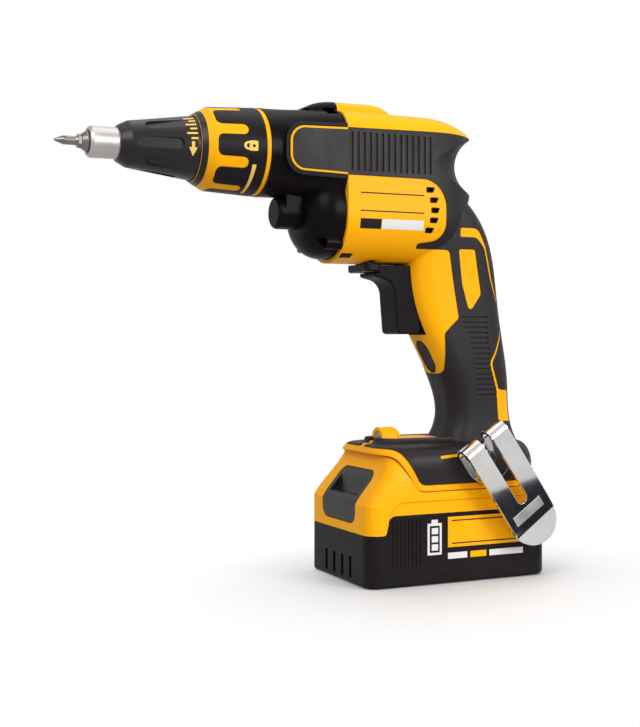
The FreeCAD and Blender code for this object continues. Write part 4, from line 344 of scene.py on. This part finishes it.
def hand_marks_group():
    """Faint dust and hand marks: a noise stretched upwards that fades in patches."""
    group, start, end = new_group("hand marks", "Size", [("Mask", "NodeSocketFloat")])
    place = add(group, "ShaderNodeTexCoord").outputs["Object"]
    stretch = add(group, "ShaderNodeMapping", vector_type="POINT", Scale=(1.0, 1.0, 0.35))
    group.links.new(place, stretch.inputs["Vector"])
    streak = noise_on(group, stretch.outputs[0], Detail=6.0, Roughness=0.65)
    patch = noise_on(group, place, Scale=14.0, Detail=2.0)
    group.links.new(start.outputs["Size"], streak.inputs["Scale"])
    streaks = ramp(group, streak.outputs[0], low=0.45, high=0.75)
    patches = ramp(group, patch.outputs[0], low=0.42, high=0.62)
    group.links.new(math_node(group, "MULTIPLY", streaks, patches), end.inputs["Mask"])
    return group


def turning_lines_group():
    """Turned or brushed metal: a noise squeezed along X, to run round the spindle axis, and broad stains."""
    group, start, end = new_group(
        "turning lines", "Size", [("Height", "NodeSocketFloat"), ("Tone", "NodeSocketFloat")])
    place = add(group, "ShaderNodeTexCoord").outputs["Object"]
    squeeze = add(group, "ShaderNodeMapping", vector_type="POINT", Scale=(8.0, 0.35, 0.35))
    group.links.new(place, squeeze.inputs["Vector"])
    lines = noise_on(group, squeeze.outputs[0], Detail=3.0, Roughness=0.6)
    stain = noise_on(group, place, Scale=90.0, Detail=4.0)
    group.links.new(start.outputs["Size"], lines.inputs["Scale"])
    group.links.new(lines.outputs[0], end.inputs["Height"])
    group.links.new(ramp(group, stain.outputs[0], low=0.35, high=0.7), end.inputs["Tone"])
    return group


GRAIN = moulded_grain_group()
EDGE = edge_rub_group()
HAND_MARKS = hand_marks_group()
TURNING = turning_lines_group()


def placed(tree, group, **values):
    """One use of a shader group in a material, with its own values."""
    node = tree.nodes.new("ShaderNodeGroup")
    node.node_tree = group
    for key, value in values.items():
        node.inputs[key].default_value = value
    return node


# Finishes

def raised(tree, shader, height, under, strength, depth):
    """Bump of a depth in millimetres on a normal, into the shader."""
    bump = add(tree, "ShaderNodeBump", Strength=strength, Distance=depth * MM)
    tree.links.new(height, bump.inputs["Height"])
    tree.links.new(under, bump.inputs["Normal"])
    tree.links.new(bump.outputs[0], shader.inputs["Normal"])


def moulded(name, colour, rubbed, rough, grain, depth, edge, gloss=0.1, patchy=0.12):
    """Moulded plastic, rubber, paint or ink: grain in the bump, uneven roughness, worn edges, hand marks.

    The colour darkens by the patchy share in a broad tone. Edge is the worn edges' radius in millimetres.
    """
    material, tree, shader = new_material(name)
    pebbles = placed(tree, GRAIN, Size=grain)
    edges = placed(tree, EDGE, Radius=edge * MM)
    marks = placed(tree, HAND_MARKS, Size=HAND_MARK_SIZE)
    deep = tuple(part * (1 - patchy) for part in colour)
    base = mixed(tree, pebbles.outputs["Tone"], deep, colour)
    base = mixed(tree, math_node(tree, "MULTIPLY", edges.outputs["Mask"], MOULDED_EDGE_WEAR), base, rubbed)
    base = mixed(tree, math_node(tree, "MULTIPLY", marks.outputs["Mask"], MOULDED_HAND_MARKS), base, rubbed)
    tree.links.new(base, shader.inputs["Base Color"])
    dull = math_node(tree, "MULTIPLY", marks.outputs["Mask"], MOULDED_DULLING)
    low, high = rough - MOULDED_ROUGH_SWING, rough + MOULDED_ROUGH_SWING
    uneven = ramp(tree, pebbles.outputs["Tone"], out_low=low, out_high=high)
    tree.links.new(math_node(tree, "ADD", uneven, dull), shader.inputs["Roughness"])
    raised(tree, shader, pebbles.outputs["Height"], edges.outputs["Normal"], MOULDED_GRAIN, depth)
    shader.inputs["Specular IOR Level"].default_value = gloss
    return material


def metal(name, colour, rubbed, rough, depth, edge):
    """Turned, plated or coated metal: lines in the bump, stains in colour and roughness, bright edges."""
    material, tree, shader = new_material(name)
    lines = placed(tree, TURNING, Size=TURNING_SIZE)
    edges = placed(tree, EDGE, Radius=edge * MM)
    stained = tuple(part * (1 - METAL_STAIN) for part in colour)
    base = mixed(tree, lines.outputs["Tone"], stained, colour)
    base = mixed(tree, math_node(tree, "MULTIPLY", edges.outputs["Mask"], METAL_EDGE_WEAR), base, rubbed)
    tree.links.new(base, shader.inputs["Base Color"])
    low, high = rough * (1 - METAL_ROUGH_SWING), rough * (1 + METAL_ROUGH_SWING)
    uneven = ramp(tree, lines.outputs["Tone"], out_low=low, out_high=high)
    tree.links.new(uneven, shader.inputs["Roughness"])
    raised(tree, shader, lines.outputs["Height"], edges.outputs["Normal"], METAL_LINES, depth)
    shader.inputs["Metallic"].default_value = 1.0
    return material


def clear_lens():
    """Clear moulded lens with a faint haze in its colour and roughness."""
    material, tree, shader = new_material("clear lens")
    haze = placed(tree, GRAIN, Size=LENS_HAZE_SIZE).outputs["Tone"]
    tree.links.new(mixed(tree, haze, LENS_HAZY, LENS_CLEAR), shader.inputs["Base Color"])
    tree.links.new(ramp(tree, haze, out_low=0.06, out_high=0.14), shader.inputs["Roughness"])
    shader.inputs["Transmission Weight"].default_value = 0.85
    shader.inputs["IOR"].default_value = 1.49
    return material


FINISH = {
    "yellow_plastic": moulded(
        "yellow moulding", YELLOW, YELLOW_RUBBED,
        rough=0.38, grain=900.0, depth=0.012, edge=0.5, patchy=0.05),
    "black_plastic": moulded(
        "black moulding", BLACK, BLACK_RUBBED,
        rough=0.38, grain=1100.0, depth=0.020, edge=0.5),
    "grip_rubber": moulded(
        "grip rubber", RUBBER, RUBBER_RUBBED,
        rough=0.50, grain=1300.0, depth=0.030, edge=0.6, gloss=0.24),
    "case_metal": moulded(
        "coated gear case", CASE, CASE_RUBBED,
        rough=0.30, grain=700.0, depth=0.020, edge=0.7, gloss=0.06),
    "inner_plastic": moulded(
        "inner moulding", (0.035, 0.035, 0.038), (0.07, 0.07, 0.07),
        rough=0.5, grain=900.0, depth=0.030, edge=0.4),
    "board": moulded(
        "circuit board", (0.012, 0.09, 0.035), (0.2, 0.2, 0.12),
        rough=0.35, grain=400.0, depth=0.020, edge=0.2),
    "cell_steel": moulded(
        "cell sleeve", (0.05, 0.10, 0.22), (0.2, 0.25, 0.35),
        rough=0.35, grain=500.0, depth=0.010, edge=0.3),
    "machined_steel": metal(
        "turned steel", STEEL, STEEL_RUBBED, rough=0.42, depth=0.001, edge=0.3),
    "hook_chrome": metal(
        "bright plating", (0.92, 0.91, 0.90), (0.95, 0.95, 0.95), rough=0.07, depth=0.002, edge=0.4),
    "bit_steel": metal(
        "bit steel", (0.24, 0.22, 0.21), (0.5, 0.5, 0.5), rough=0.32, depth=0.002, edge=0.25),
    "screw_steel": metal(
        "blackened screws", (0.10, 0.10, 0.10), (0.4, 0.4, 0.4), rough=0.36, depth=0.010, edge=0.25),
    "bronze": metal(
        "sintered bronze", (0.48, 0.29, 0.12), (0.65, 0.45, 0.22), rough=0.42, depth=0.010, edge=0.3),
    "magnet": metal(
        "magnet", (0.18, 0.18, 0.19), (0.3, 0.3, 0.3), rough=0.45, depth=0.010, edge=0.3),
    "iron_core": metal(
        "laminated iron", (0.30, 0.30, 0.31), (0.5, 0.5, 0.5), rough=0.40, depth=0.030, edge=0.3),
    "copper_coil": metal(
        "lacquered copper", (0.60, 0.22, 0.08), (0.75, 0.4, 0.2), rough=0.30, depth=0.060, edge=0.4),
    "terminal_copper": metal(
        "plated terminals", (0.66, 0.46, 0.18), (0.8, 0.65, 0.35), rough=0.25, depth=0.010, edge=0.2),
    "clear_lens": clear_lens(),
}
SHINY_BLACK = moulded(
    "polished black moulding", BLACK, BLACK_RUBBED,
    rough=0.30, grain=1100.0, depth=0.012, edge=0.5, gloss=0.3)
DULL_BLACK = moulded(
    "dull black moulding", CASE, BLACK_RUBBED,
    rough=0.45, grain=1100.0, depth=0.020, edge=0.5, gloss=0.08)
OWN_FINISH = {
    "nose_cone": SHINY_BLACK,
    "release_button": SHINY_BLACK,
    "trigger": DULL_BLACK,
    "bit_holder": FINISH["bit_steel"],
}


def ink(name, colour, rubbed, patchy=0.05):
    """Thin printed ink, fine-grained and half dull."""
    return moulded(name, colour, rubbed, rough=0.45, grain=900.0, depth=0.006, edge=0.2, patchy=patchy)


YELLOW_INK = ink("yellow ink", YELLOW, YELLOW_RUBBED)
# Yellow print lightened towards cream as a painted highlight
HIGHLIT_YELLOW_INK = ink("yellow ink with painted highlight", HIGHLIT_YELLOW, HIGHLIT_YELLOW)
DARK_INK = ink("dark ink", (0.012, 0.011, 0.011), (0.03, 0.03, 0.03), patchy=0.12)
WHITE_INK = ink("white ink", (0.66, 0.65, 0.64), (0.7, 0.7, 0.7))
ETCHED = metal("etched plating", (0.50, 0.50, 0.50), (0.7, 0.7, 0.7), rough=0.45, depth=0.004, edge=0.2)

for name, piece in nodes.items():
    piece.data.materials.clear()
    piece.data.materials.append(OWN_FINISH.get(name, FINISH[slot_of[name]]))


# New pieces

def new_piece(name, points, faces, finish):
    """Object with a mesh of points in millimetres and faces, in one finish."""
    mesh = bpy.data.meshes.new(name)
    mesh.from_pydata((points.reshape(-1, 3) * MM).tolist(), [], faces)
    mesh.materials.append(finish)
    piece = bpy.data.objects.new(name, mesh)
    bpy.context.scene.collection.objects.link(piece)
    return piece


def sheet(name, points, outward, body, finish):
    """Closed thin sheet: a grid of points raised along its outward directions, the same grid sunk, a rim.

    The faces are turned round where the grid's own directions, crossed, point against the outward ones.
    """
    count = points.size // 3
    index = np.arange(count).reshape(points.shape[:2])
    top = np.stack([index[:-1, :-1], index[1:, :-1], index[1:, 1:], index[:-1, 1:]], axis=-1).reshape(-1, 4)
    rim = np.concatenate([index[0, :-1], index[:-1, -1], index[-1, :0:-1], index[:0:-1, 0]])
    after = np.roll(rim, -1)
    side = np.stack([rim, after, after + count, rim + count], axis=-1)
    faces = np.concatenate([top, top[:, ::-1] + count, side])
    turned_in = np.cross(np.diff(points, axis=0)[:, :-1], np.diff(points, axis=1)[:-1]) * outward[:-1, :-1]
    if turned_in.sum() < 0:
        faces = faces[:, ::-1]
    both = np.stack([points + PRINT * outward, points - PRINT * outward])
    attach(new_piece(name, both, faces.tolist(), finish), body)


def closed_ring(name, points, body, finish):
    """Section carried round a closed path: each point joins the next one on the section and on the path.

    The faces are turned round where the volume that they hold, summed over their corners, comes out negative.
    """
    index = np.arange(points.size // 3).reshape(points.shape[:2])
    ahead = np.roll(index, -1, axis=1)
    faces = np.stack([index, ahead, np.roll(ahead, -1, axis=0), np.roll(index, -1, axis=0)], axis=-1)
    faces = faces.reshape(-1, 4)
    corners = (points - points.mean(axis=(0, 1))).reshape(-1, 3)[faces]
    first, second, third, fourth = np.moveaxis(corners, 1, 0)
    held = np.sum(first * (np.cross(second, third) + np.cross(third, fourth)))
    if held < 0:
        faces = faces[:, ::-1]
    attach(new_piece(name, points, faces.tolist(), finish), body)


def grid(low_u, high_u, low_v, high_v, rows=5, columns=9):
    """Even grid of two values over a rectangle."""
    return np.meshgrid(np.linspace(low_u, high_u, rows), np.linspace(low_v, high_v, columns), indexing="ij")


def disc(rows=9):
    """Grid over the unit disc: each side of a square, bowed out to the circle."""
    u, v = grid(-1, 1, -1, 1, rows, rows)
    return u * np.sqrt(1 - v ** 2 / 2), v * np.sqrt(1 - u ** 2 / 2)


def side_name(side):
    """Word for the side of the part that a sign of Y means."""
    return "left" if side < 0 else "right"


# Coil springs in place of the spring solids, on their bodies

def coil_spring(node, turns):
    """Round wire along a helix inside the node's box, in place of the hidden node and on the node's body.

    The centre line turns evenly while it goes from end to end, and each ring of the wire is spanned by the
    direction out from the spring's axis and the one at right angles to it and to the line.
    """
    low, high = (np.array(corner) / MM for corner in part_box(node))
    turn = np.linspace(0.0, 2 * np.pi * turns, turns * WIRE_PER_TURN + 1)
    radius = (high[1] - low[1]) / 2 - WIRE_R
    pitch = (high[0] - low[0] - 2 * WIRE_R) / turn[-1]
    out = np.stack([0 * turn, np.cos(turn), np.sin(turn)], axis=-1)
    along = np.stack([pitch + 0 * turn, -radius * np.sin(turn), radius * np.cos(turn)], axis=-1)
    along /= np.linalg.norm(along, axis=-1, keepdims=True)
    across = np.cross(along, out)
    centre = np.stack([low[0] + WIRE_R + pitch * turn, 0 * turn, 0 * turn], axis=-1) + radius * out
    centre[:, 1:] += (low[1:] + high[1:]) / 2
    ring = np.linspace(0.0, 2 * np.pi, WIRE_AROUND, endpoint=False)[None, :, None]
    points = centre[:, None] + WIRE_R * (np.cos(ring) * out[:, None] + np.sin(ring) * across[:, None])
    index = np.arange(points.size // 3).reshape(-1, WIRE_AROUND)
    after = np.roll(index, -1, axis=1)
    tube = np.stack([index[:-1], after[:-1], after[1:], index[1:]], axis=-1).reshape(-1, 4).tolist()
    ends = [index[0, ::-1].tolist(), index[-1].tolist()]
    piece = new_piece(node + "_wire", points, tube + ends, FINISH[slot_of[node]])
    piece.data.polygons.foreach_set("use_smooth", [True] * len(piece.data.polygons))
    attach(piece, body_of[node])
    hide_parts(node)
    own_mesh(piece)


coil_spring("trigger_spring", 5)
coil_spring("release_spring", 3)
coil_spring("clutch_spring", 4)


# Marks on the cone and the collar

def round_mark(name, x, angle, radius, body, finish):
    """Mark on a turned piece: station, angle from the left side upward in degrees, and the radius there."""
    turn = np.radians(angle)
    outward = np.stack([np.zeros_like(turn), -np.cos(turn), np.sin(turn)], axis=-1)
    points = np.stack([x, radius * outward[..., 1], SPINDLE_Z + radius * outward[..., 2]], axis=-1)
    sheet(name, points, outward, body, finish)


def cone_radius(x):
    """Radius of the cone, straight from its shoulder to its rear edge."""
    return CONE_FRONT_R + (CONE_REAR_R - CONE_FRONT_R) * (x - CONE_FRONT_X) / (CONE_REAR_X - CONE_FRONT_X)


def collar_radius(x):
    """Radius of the collar's grip, straight from its shoulder to its rear edge."""
    share = (x - COLLAR_FRONT_X) / (COLLAR_REAR_X - COLLAR_FRONT_X)
    return COLLAR_FRONT_R + (COLLAR_REAR_R - COLLAR_FRONT_R) * share


def cone_scale(finish):
    """Depth ticks, long and short by turns, and an arrow round the cone: even stem, then tapering head."""
    for i, angle in enumerate(TICK_ANGLES):
        length = LONG_TICK if i % 2 == 0 else SHORT_TICK
        x, turn = grid(TICK_REAR_X - length, TICK_REAR_X, angle - TICK_HALF_ANGLE, angle + TICK_HALF_ANGLE)
        round_mark("cone_tick_%d" % (i + 1), x, turn, cone_radius(x), "cone", finish)
    stations = [0.0, ARROW_STEM / 2, ARROW_STEM, ARROW_STEM + ARROW_STEP, *ARROW_HEAD_STATIONS]
    side, along = np.meshgrid(np.linspace(-1, 1, ARROW_ACROSS), stations, indexing="ij")
    head = ARROW_HEAD_HALF * (ARROW_POINT - along) / (ARROW_POINT - ARROW_STEM)
    x = ARROW_X + side * np.where(along <= ARROW_STEM, ARROW_STEM_HALF, head)
    round_mark("cone_arrow", x, ARROW_ANGLE - ARROW_SWEEP * along, cone_radius(x), "cone", finish)


def padlock(finish, dark):
    """Padlock lying on its side. A step is the angle in degrees of one millimetre round the collar.

    The body is a rectangle that narrows by a high power of the way to its ends, the shackle is half a ring
    stretched to the front, and the keyhole is a disc on top of the body.
    """
    step = math.degrees(1 / PADLOCK_R)
    u, v = grid(-1, 1, -1, 1, rows=9, columns=9)
    x = PADLOCK_X + PADLOCK_HALF_LENGTH * u
    width = PADLOCK_HALF_WIDTH * v * (1 - PADLOCK_ROUNDING * u ** PADLOCK_POWER)
    round_mark("padlock_body", x, width * step, collar_radius(x), "collar", finish)
    swing, radius = grid(-90.0, 90.0, SHACKLE_INNER_R, SHACKLE_OUTER_R, rows=15, columns=3)
    x = SHACKLE_X - radius * np.cos(np.radians(swing)) * SHACKLE_STRETCH
    width = radius * np.sin(np.radians(swing))
    round_mark("padlock_shackle", x, width * step, collar_radius(x), "collar", finish)
    u, v = disc()
    above = collar_radius(KEYHOLE_X) + 2 * PRINT + 0 * u
    round_mark("padlock_keyhole", KEYHOLE_X + KEYHOLE_R * u, KEYHOLE_R * v * step, above, "collar", dark)


def low_band(finish):
    """Band that shows the low setting: it leans forwards and narrows as it goes round the collar."""
    along, side = grid(0.0, 1.0, -1.0, 1.0, rows=25, columns=3)
    x = LOW_BAND_X - LOW_BAND_LEAN * along + side * (LOW_BAND_HALF - LOW_BAND_TAPER * along)
    turn = LOW_BAND_ANGLE - LOW_BAND_SWEEP * along
    round_mark("collar_low_band", x, turn, collar_radius(x), "collar", finish)


def collar_gap_painted_shade(finish):
    """Painted shade of the gap behind the cone: a dark ring on the front of the collar's chamfer, a thin
    closed section turned round the spindle axis.
    """
    front, rear = GAP_SHADE_X
    x = np.array([front, rear, rear, front])
    share = (x - CHAMFER_FRONT_X) / (COLLAR_FRONT_X - CHAMFER_FRONT_X)
    lift = 2 * PRINT * np.array([1.0, 1.0, -1.0, -1.0])
    radius = CHAMFER_FRONT_R + (CHAMFER_REAR_R - CHAMFER_FRONT_R) * share + lift
    turn = np.linspace(0.0, 2 * np.pi, GAP_SHADE_AROUND, endpoint=False)
    across = np.repeat(x[:, None], GAP_SHADE_AROUND, axis=1)
    y = np.outer(radius, np.cos(turn))
    z = SPINDLE_Z + np.outer(radius, np.sin(turn))
    closed_ring("collar_gap_painted_shade", np.stack([across, y, z], axis=-1), "collar", finish)


# Label and vents of the motor panel

def belly(z):
    """Drop of a height below the belly's top, and how far the panel lies from the belly's axis there.

    The distance is the belly's radius above its top, and follows the circle below it.
    """
    below = np.maximum(MOTOR_Z - BELLY_DROP - z, 0.0)
    return below, np.sqrt(BELLY_R ** 2 - below ** 2)


def panel_mark(name, x, z, side, finish):
    """Mark on the motor panel: flat above, and on the belly's arc below its top."""
    below, depth = belly(z)
    outward = np.stack([np.zeros_like(x), side * depth / BELLY_R, -below / BELLY_R], axis=-1)
    points = np.stack([x, side * (PANEL_Y - BELLY_R + depth), z], axis=-1)
    sheet(side_name(side) + "_" + name, points, outward, "housing", finish)


def panel_label(side, dark, pale):
    """Plain label: two rules, under them a dark and a pale bar, and low on the belly a flat dark mark,
    painted shade for a slot.
    """
    for i, z in enumerate(RULE_HEIGHTS):
        rule = grid(LABEL_FRONT_X, LABEL_REAR_X, z - RULE_HALF, z + RULE_HALF)
        panel_mark("rule_%d" % (i + 1), *rule, side, dark)
    panel_mark("dark_bar", *grid(LABEL_FRONT_X, DARK_BAR_REAR_X, BAR_LOW_Z, BAR_HIGH_Z), side, dark)
    panel_mark("pale_bar", *grid(PALE_BAR_FRONT_X, LABEL_REAR_X, BAR_LOW_Z, BAR_HIGH_Z), side, pale)
    panel_mark("belly_slot_shade", *grid(*BELLY_SLOT_SHADE_X, *BELLY_SLOT_SHADE_Z), side, dark)


def vent_liners(side, finish):
    """Dark liner in each motor vent: a flange and a sleeve, carried round the vent's outline.

    The outline is a square with its corners bowed in by a cube root of sine and cosine, stretched to the
    vent, with its rear edge slanted. Each point of the section lies out from the outline, more along it
    than up, and at a height from the panel.
    """
    sleeve = [-LINER_GAP, -LINER_GAP, -LINER_GAP - LINER_WALL, -LINER_GAP - LINER_WALL]
    wide = np.array([LINER_FLANGE_LONG, LINER_FLANGE_LONG] + sleeve)[:, None]
    tall = np.array([LINER_FLANGE_TALL, LINER_FLANGE_TALL] + sleeve)[:, None]
    rise = np.array([LINER_FLANGE_TOP, LINER_FLANGE_FOOT, LINER_FLANGE_FOOT,
                     -LINER_DEPTH, -LINER_DEPTH, LINER_FLANGE_TOP])[:, None]
    turn = np.linspace(0.0, 2 * np.pi, LINER_AROUND, endpoint=False)
    along, up = np.cbrt(np.cos(turn)), np.cbrt(np.sin(turn))
    length = 2 * VENT_HALF_LENGTH - VENT_SLANT * (1 - up) / 2
    outline_x = length * (along + 1) / 2 - VENT_HALF_LENGTH
    outline_z = VENT_HALF_HEIGHT * up
    for i, share in enumerate(np.linspace(-1, 1, VENT_COUNT)):
        x = VENT_X - VENT_BOW * share ** 2 + outline_x * (1 + wide / VENT_HALF_LENGTH)
        z = MOTOR_Z + VENT_RISE + VENT_SPAN / 2 * share + outline_z * (1 + tall / VENT_HALF_HEIGHT)
        y = side * (PANEL_Y - BELLY_R + belly(z)[1] + rise)
        name = "%s_vent_liner_%d" % (side_name(side), i + 1)
        closed_ring(name, np.stack([x, y, z], axis=-1), "housing", finish)


# Marks on the pack and the hook

def pack_label(side, yellow, dark, white):
    """Sunk panel of the pack: a yellow block with two rules, a cell sign at its front end, plain bars below.

    Each row is a mark's front and rear X, its low and high Z, how many prints lie under it, and its ink.
    """
    for mark, front_x, rear_x, low_z, high_z, layers, finish in (
        ("block", -8.5, 50.0, 19.6, 36.4, 0, yellow),
        ("upper_rule", -6.0, 48.0, 34.0, 34.6, 1, dark),
        ("lower_rule", -6.0, 48.0, 21.4, 22.0, 1, dark),
        ("cell_sign", -21.5, -12.5, 16.0, 33.4, 0, white),
        ("cell_sign_cap", -19.0, -15.0, 33.4, 35.4, 0, white),
        ("cell_sign_field", -20.1, -13.9, 17.4, 32.0, 1, dark),
        ("cell_sign_low_mark", -19.0, -15.0, 18.5, 21.9, 2, white),
        ("cell_sign_middle_mark", -19.0, -15.0, 23.0, 26.4, 2, white),
        ("cell_sign_high_mark", -19.0, -15.0, 27.5, 30.9, 2, white),
        ("front_bar", -8.5, 4.0, 13.2, 16.6, 0, white),
        ("middle_bar", 6.0, 16.5, 13.2, 16.6, 0, yellow),
        ("rear_bar", 18.5, 41.0, 13.2, 16.6, 0, white),
    ):
        x, z = grid(front_x, rear_x, low_z, high_z)
        outward = np.stack([0 * x, side + 0 * x, 0 * x], axis=-1)
        points = np.stack([x, side * (PACK_PANEL_Y + 2 * PRINT * layers) + 0 * x, z], axis=-1)
        sheet("%s_pack_%s" % (side_name(side), mark), points, outward, "pack", finish)


def hook_plate(finish):
    """Bare etched field low on the hook's blade: a tilted rectangle that follows the bow towards the lip."""
    across, along = grid(*PLATE_ACROSS, *PLATE_ALONG)
    x = HOOK_TOP_X + across * math.cos(HOOK_TILT) + along * math.sin(HOOK_TILT)
    z = HOOK_TOP_Z + across * math.sin(HOOK_TILT) - along * math.cos(HOOK_TILT)
    bow = HOOK_BOW * (HOOK_BOW_END - along) / (HOOK_BOW_END - HOOK_BOW_AT)
    outward = np.stack([0 * x, -1 + 0 * x, 0 * x], axis=-1)
    sheet("hook_plate", np.stack([x, HOOK_FACE_Y - bow, z], axis=-1), outward, "housing", finish)


# Marks in yellow print, lightened towards cream as a painted highlight
cone_scale(HIGHLIT_YELLOW_INK)
padlock(HIGHLIT_YELLOW_INK, DARK_INK)
low_band(HIGHLIT_YELLOW_INK)
# Dark ring on the collar's chamfer: painted shade of the gap between cone and collar
collar_gap_painted_shade(SHINY_BLACK)
for one_side in (-1, 1):
    panel_label(one_side, DARK_INK, WHITE_INK)
    vent_liners(one_side, DULL_BLACK)
    pack_label(one_side, YELLOW_INK, DARK_INK, WHITE_INK)
hook_plate(ETCHED)


# Studio

def stage_card(name, low, high, drop, material):
    """Level rectangle from one corner to the other, lowered by a drop, that is no part of the object."""
    corners = np.array([
        (low[0], low[1], 0.0),
        (high[0], low[1], 0.0),
        (high[0], high[1], 0.0),
        (low[0], high[1], 0.0),
    ])
    card = new_piece(name, corners, [(0, 1, 2, 3)], material)
    card.location.z = -drop * MM
    return card


def studio_floor():
    """Pale floor with painted shadow, darker close to the part, that fades to the white background away from
    it.
    """
    material, tree, shader = new_material("studio floor")
    place = add(tree, "ShaderNodeTexCoord").outputs["Object"]
    away = add(tree, "ShaderNodeVectorMath", operation="DISTANCE")
    away.inputs[1].default_value = SHADOW_DISC_CENTRE
    tree.links.new(place, away.inputs[0])
    # Occlusion darkens the floor's colour close to the part: painted shadow
    painted_shadow = add(tree, "ShaderNodeAmbientOcclusion", samples=8, Distance=FLOOR_SHADE_REACH)
    cloud = noise_on(tree, place, Scale=5.0)
    pale = mixed(tree, cloud.outputs[0], FLOOR_PALE, FLOOR_PALEST)
    tree.links.new(mixed(tree, painted_shadow.outputs["AO"], FLOOR_SHADED, pale), shader.inputs["Base Color"])
    fade = ramp(tree, away.outputs["Value"], SHADOW_DISC_START, SHADOW_DISC_END, out_low=1.0, out_high=0.0)
    tree.links.new(fade, shader.inputs["Alpha"])
    shader.inputs["Roughness"].default_value = 0.6
    shader.inputs["Specular IOR Level"].default_value = 0.1
    stage_card("floor", (-FLOOR_HALF, -FLOOR_HALF), (FLOOR_HALF, FLOOR_HALF), FLOOR_DROP, material)


def hook_flag():
    """Dark card beside the part that shows only in reflections, where the hook's blade looks at the floor."""
    material, tree, shader = new_material("studio flag")
    place = add(tree, "ShaderNodeTexCoord").outputs["Object"]
    cloud = noise_on(tree, place, Scale=5.0)
    dark = mixed(tree, cloud.outputs[0], FLAG_DARKEST, FLAG_DARK)
    tree.links.new(dark, shader.inputs["Base Color"])
    shader.inputs["Specular IOR Level"].default_value = 0.0
    card = stage_card("flag", FLAG_LOW, FLAG_HIGH, 0.0, material)
    card.visible_camera = False
    card.visible_diffuse = False
    card.visible_shadow = False


def studio_world():
    """White background for the camera and through the lens, a part of it in reflections, a fill elsewhere."""
    world = bpy.data.worlds.new("studio")
    bpy.context.scene.world = world
    world.use_nodes = True
    tree = world.node_tree
    back = tree.nodes["Background"]
    path = add(tree, "ShaderNodeLightPath")
    seen = math_node(tree, "MAXIMUM", path.outputs["Is Camera Ray"], path.outputs["Is Transmission Ray"])
    mirrored = math_node(tree, "MULTIPLY", path.outputs["Is Glossy Ray"], WORLD_IN_REFLECTIONS)
    seen = math_node(tree, "MAXIMUM", seen, mirrored)
    back.inputs["Color"].default_value = (1.0, 1.0, 1.0, 1.0)
    tree.links.new(ramp(tree, seen, out_low=WORLD_FILL), back.inputs["Strength"])


def looking(direction):
    """Turn of a lamp or camera that looks in a direction, with its top upwards."""
    return Vector(direction).to_track_quat("-Z", "Y").to_euler()


def soft_box(name, place, aim, width, height, power):
    """Rectangular lamp of a power in watts at a place, turned to a point."""
    lamp = bpy.data.lights.new(name, "AREA")
    lamp.shape = "RECTANGLE"
    lamp.size = width
    lamp.size_y = height
    lamp.energy = power
    box = bpy.data.objects.new(name, lamp)
    bpy.context.scene.collection.objects.link(box)
    box.location = place
    box.rotation_euler = looking(Vector(aim) - Vector(place))


def camera():
    """Level camera at the distance of the photograph, with its horizon above the picture's middle."""
    data = bpy.data.cameras.new("camera")
    data.sensor_width = SENSOR
    data.lens = FOCAL_PIXELS / PICTURE_HEIGHT * SENSOR
    data.shift_y = (HORIZON_ROW - PICTURE_HEIGHT / 2) / PICTURE_HEIGHT
    data.clip_start = CAMERA_NEAR
    holder = bpy.data.objects.new("camera", data)
    bpy.context.scene.collection.objects.link(holder)
    holder.location = CAMERA_PLACE
    holder.rotation_euler = looking(CAMERA_DIRECTION)
    bpy.context.scene.camera = holder


studio_floor()
studio_world()
soft_box("key box", place=(-0.9, -0.9, 1.1), aim=PART_MIDDLE, width=0.9, height=0.9, power=12.5)
soft_box("top box", place=(0.1, 0.1, 1.4), aim=PART_MIDDLE, width=1.2, height=1.2, power=6.0)
soft_box("side box", place=(0.42, -0.92, 0.50), aim=(-0.02, 0.0, 0.24), width=0.6, height=0.42, power=8.0)
hook_flag()
camera()
bpy.context.scene.view_settings.view_transform = "Standard"
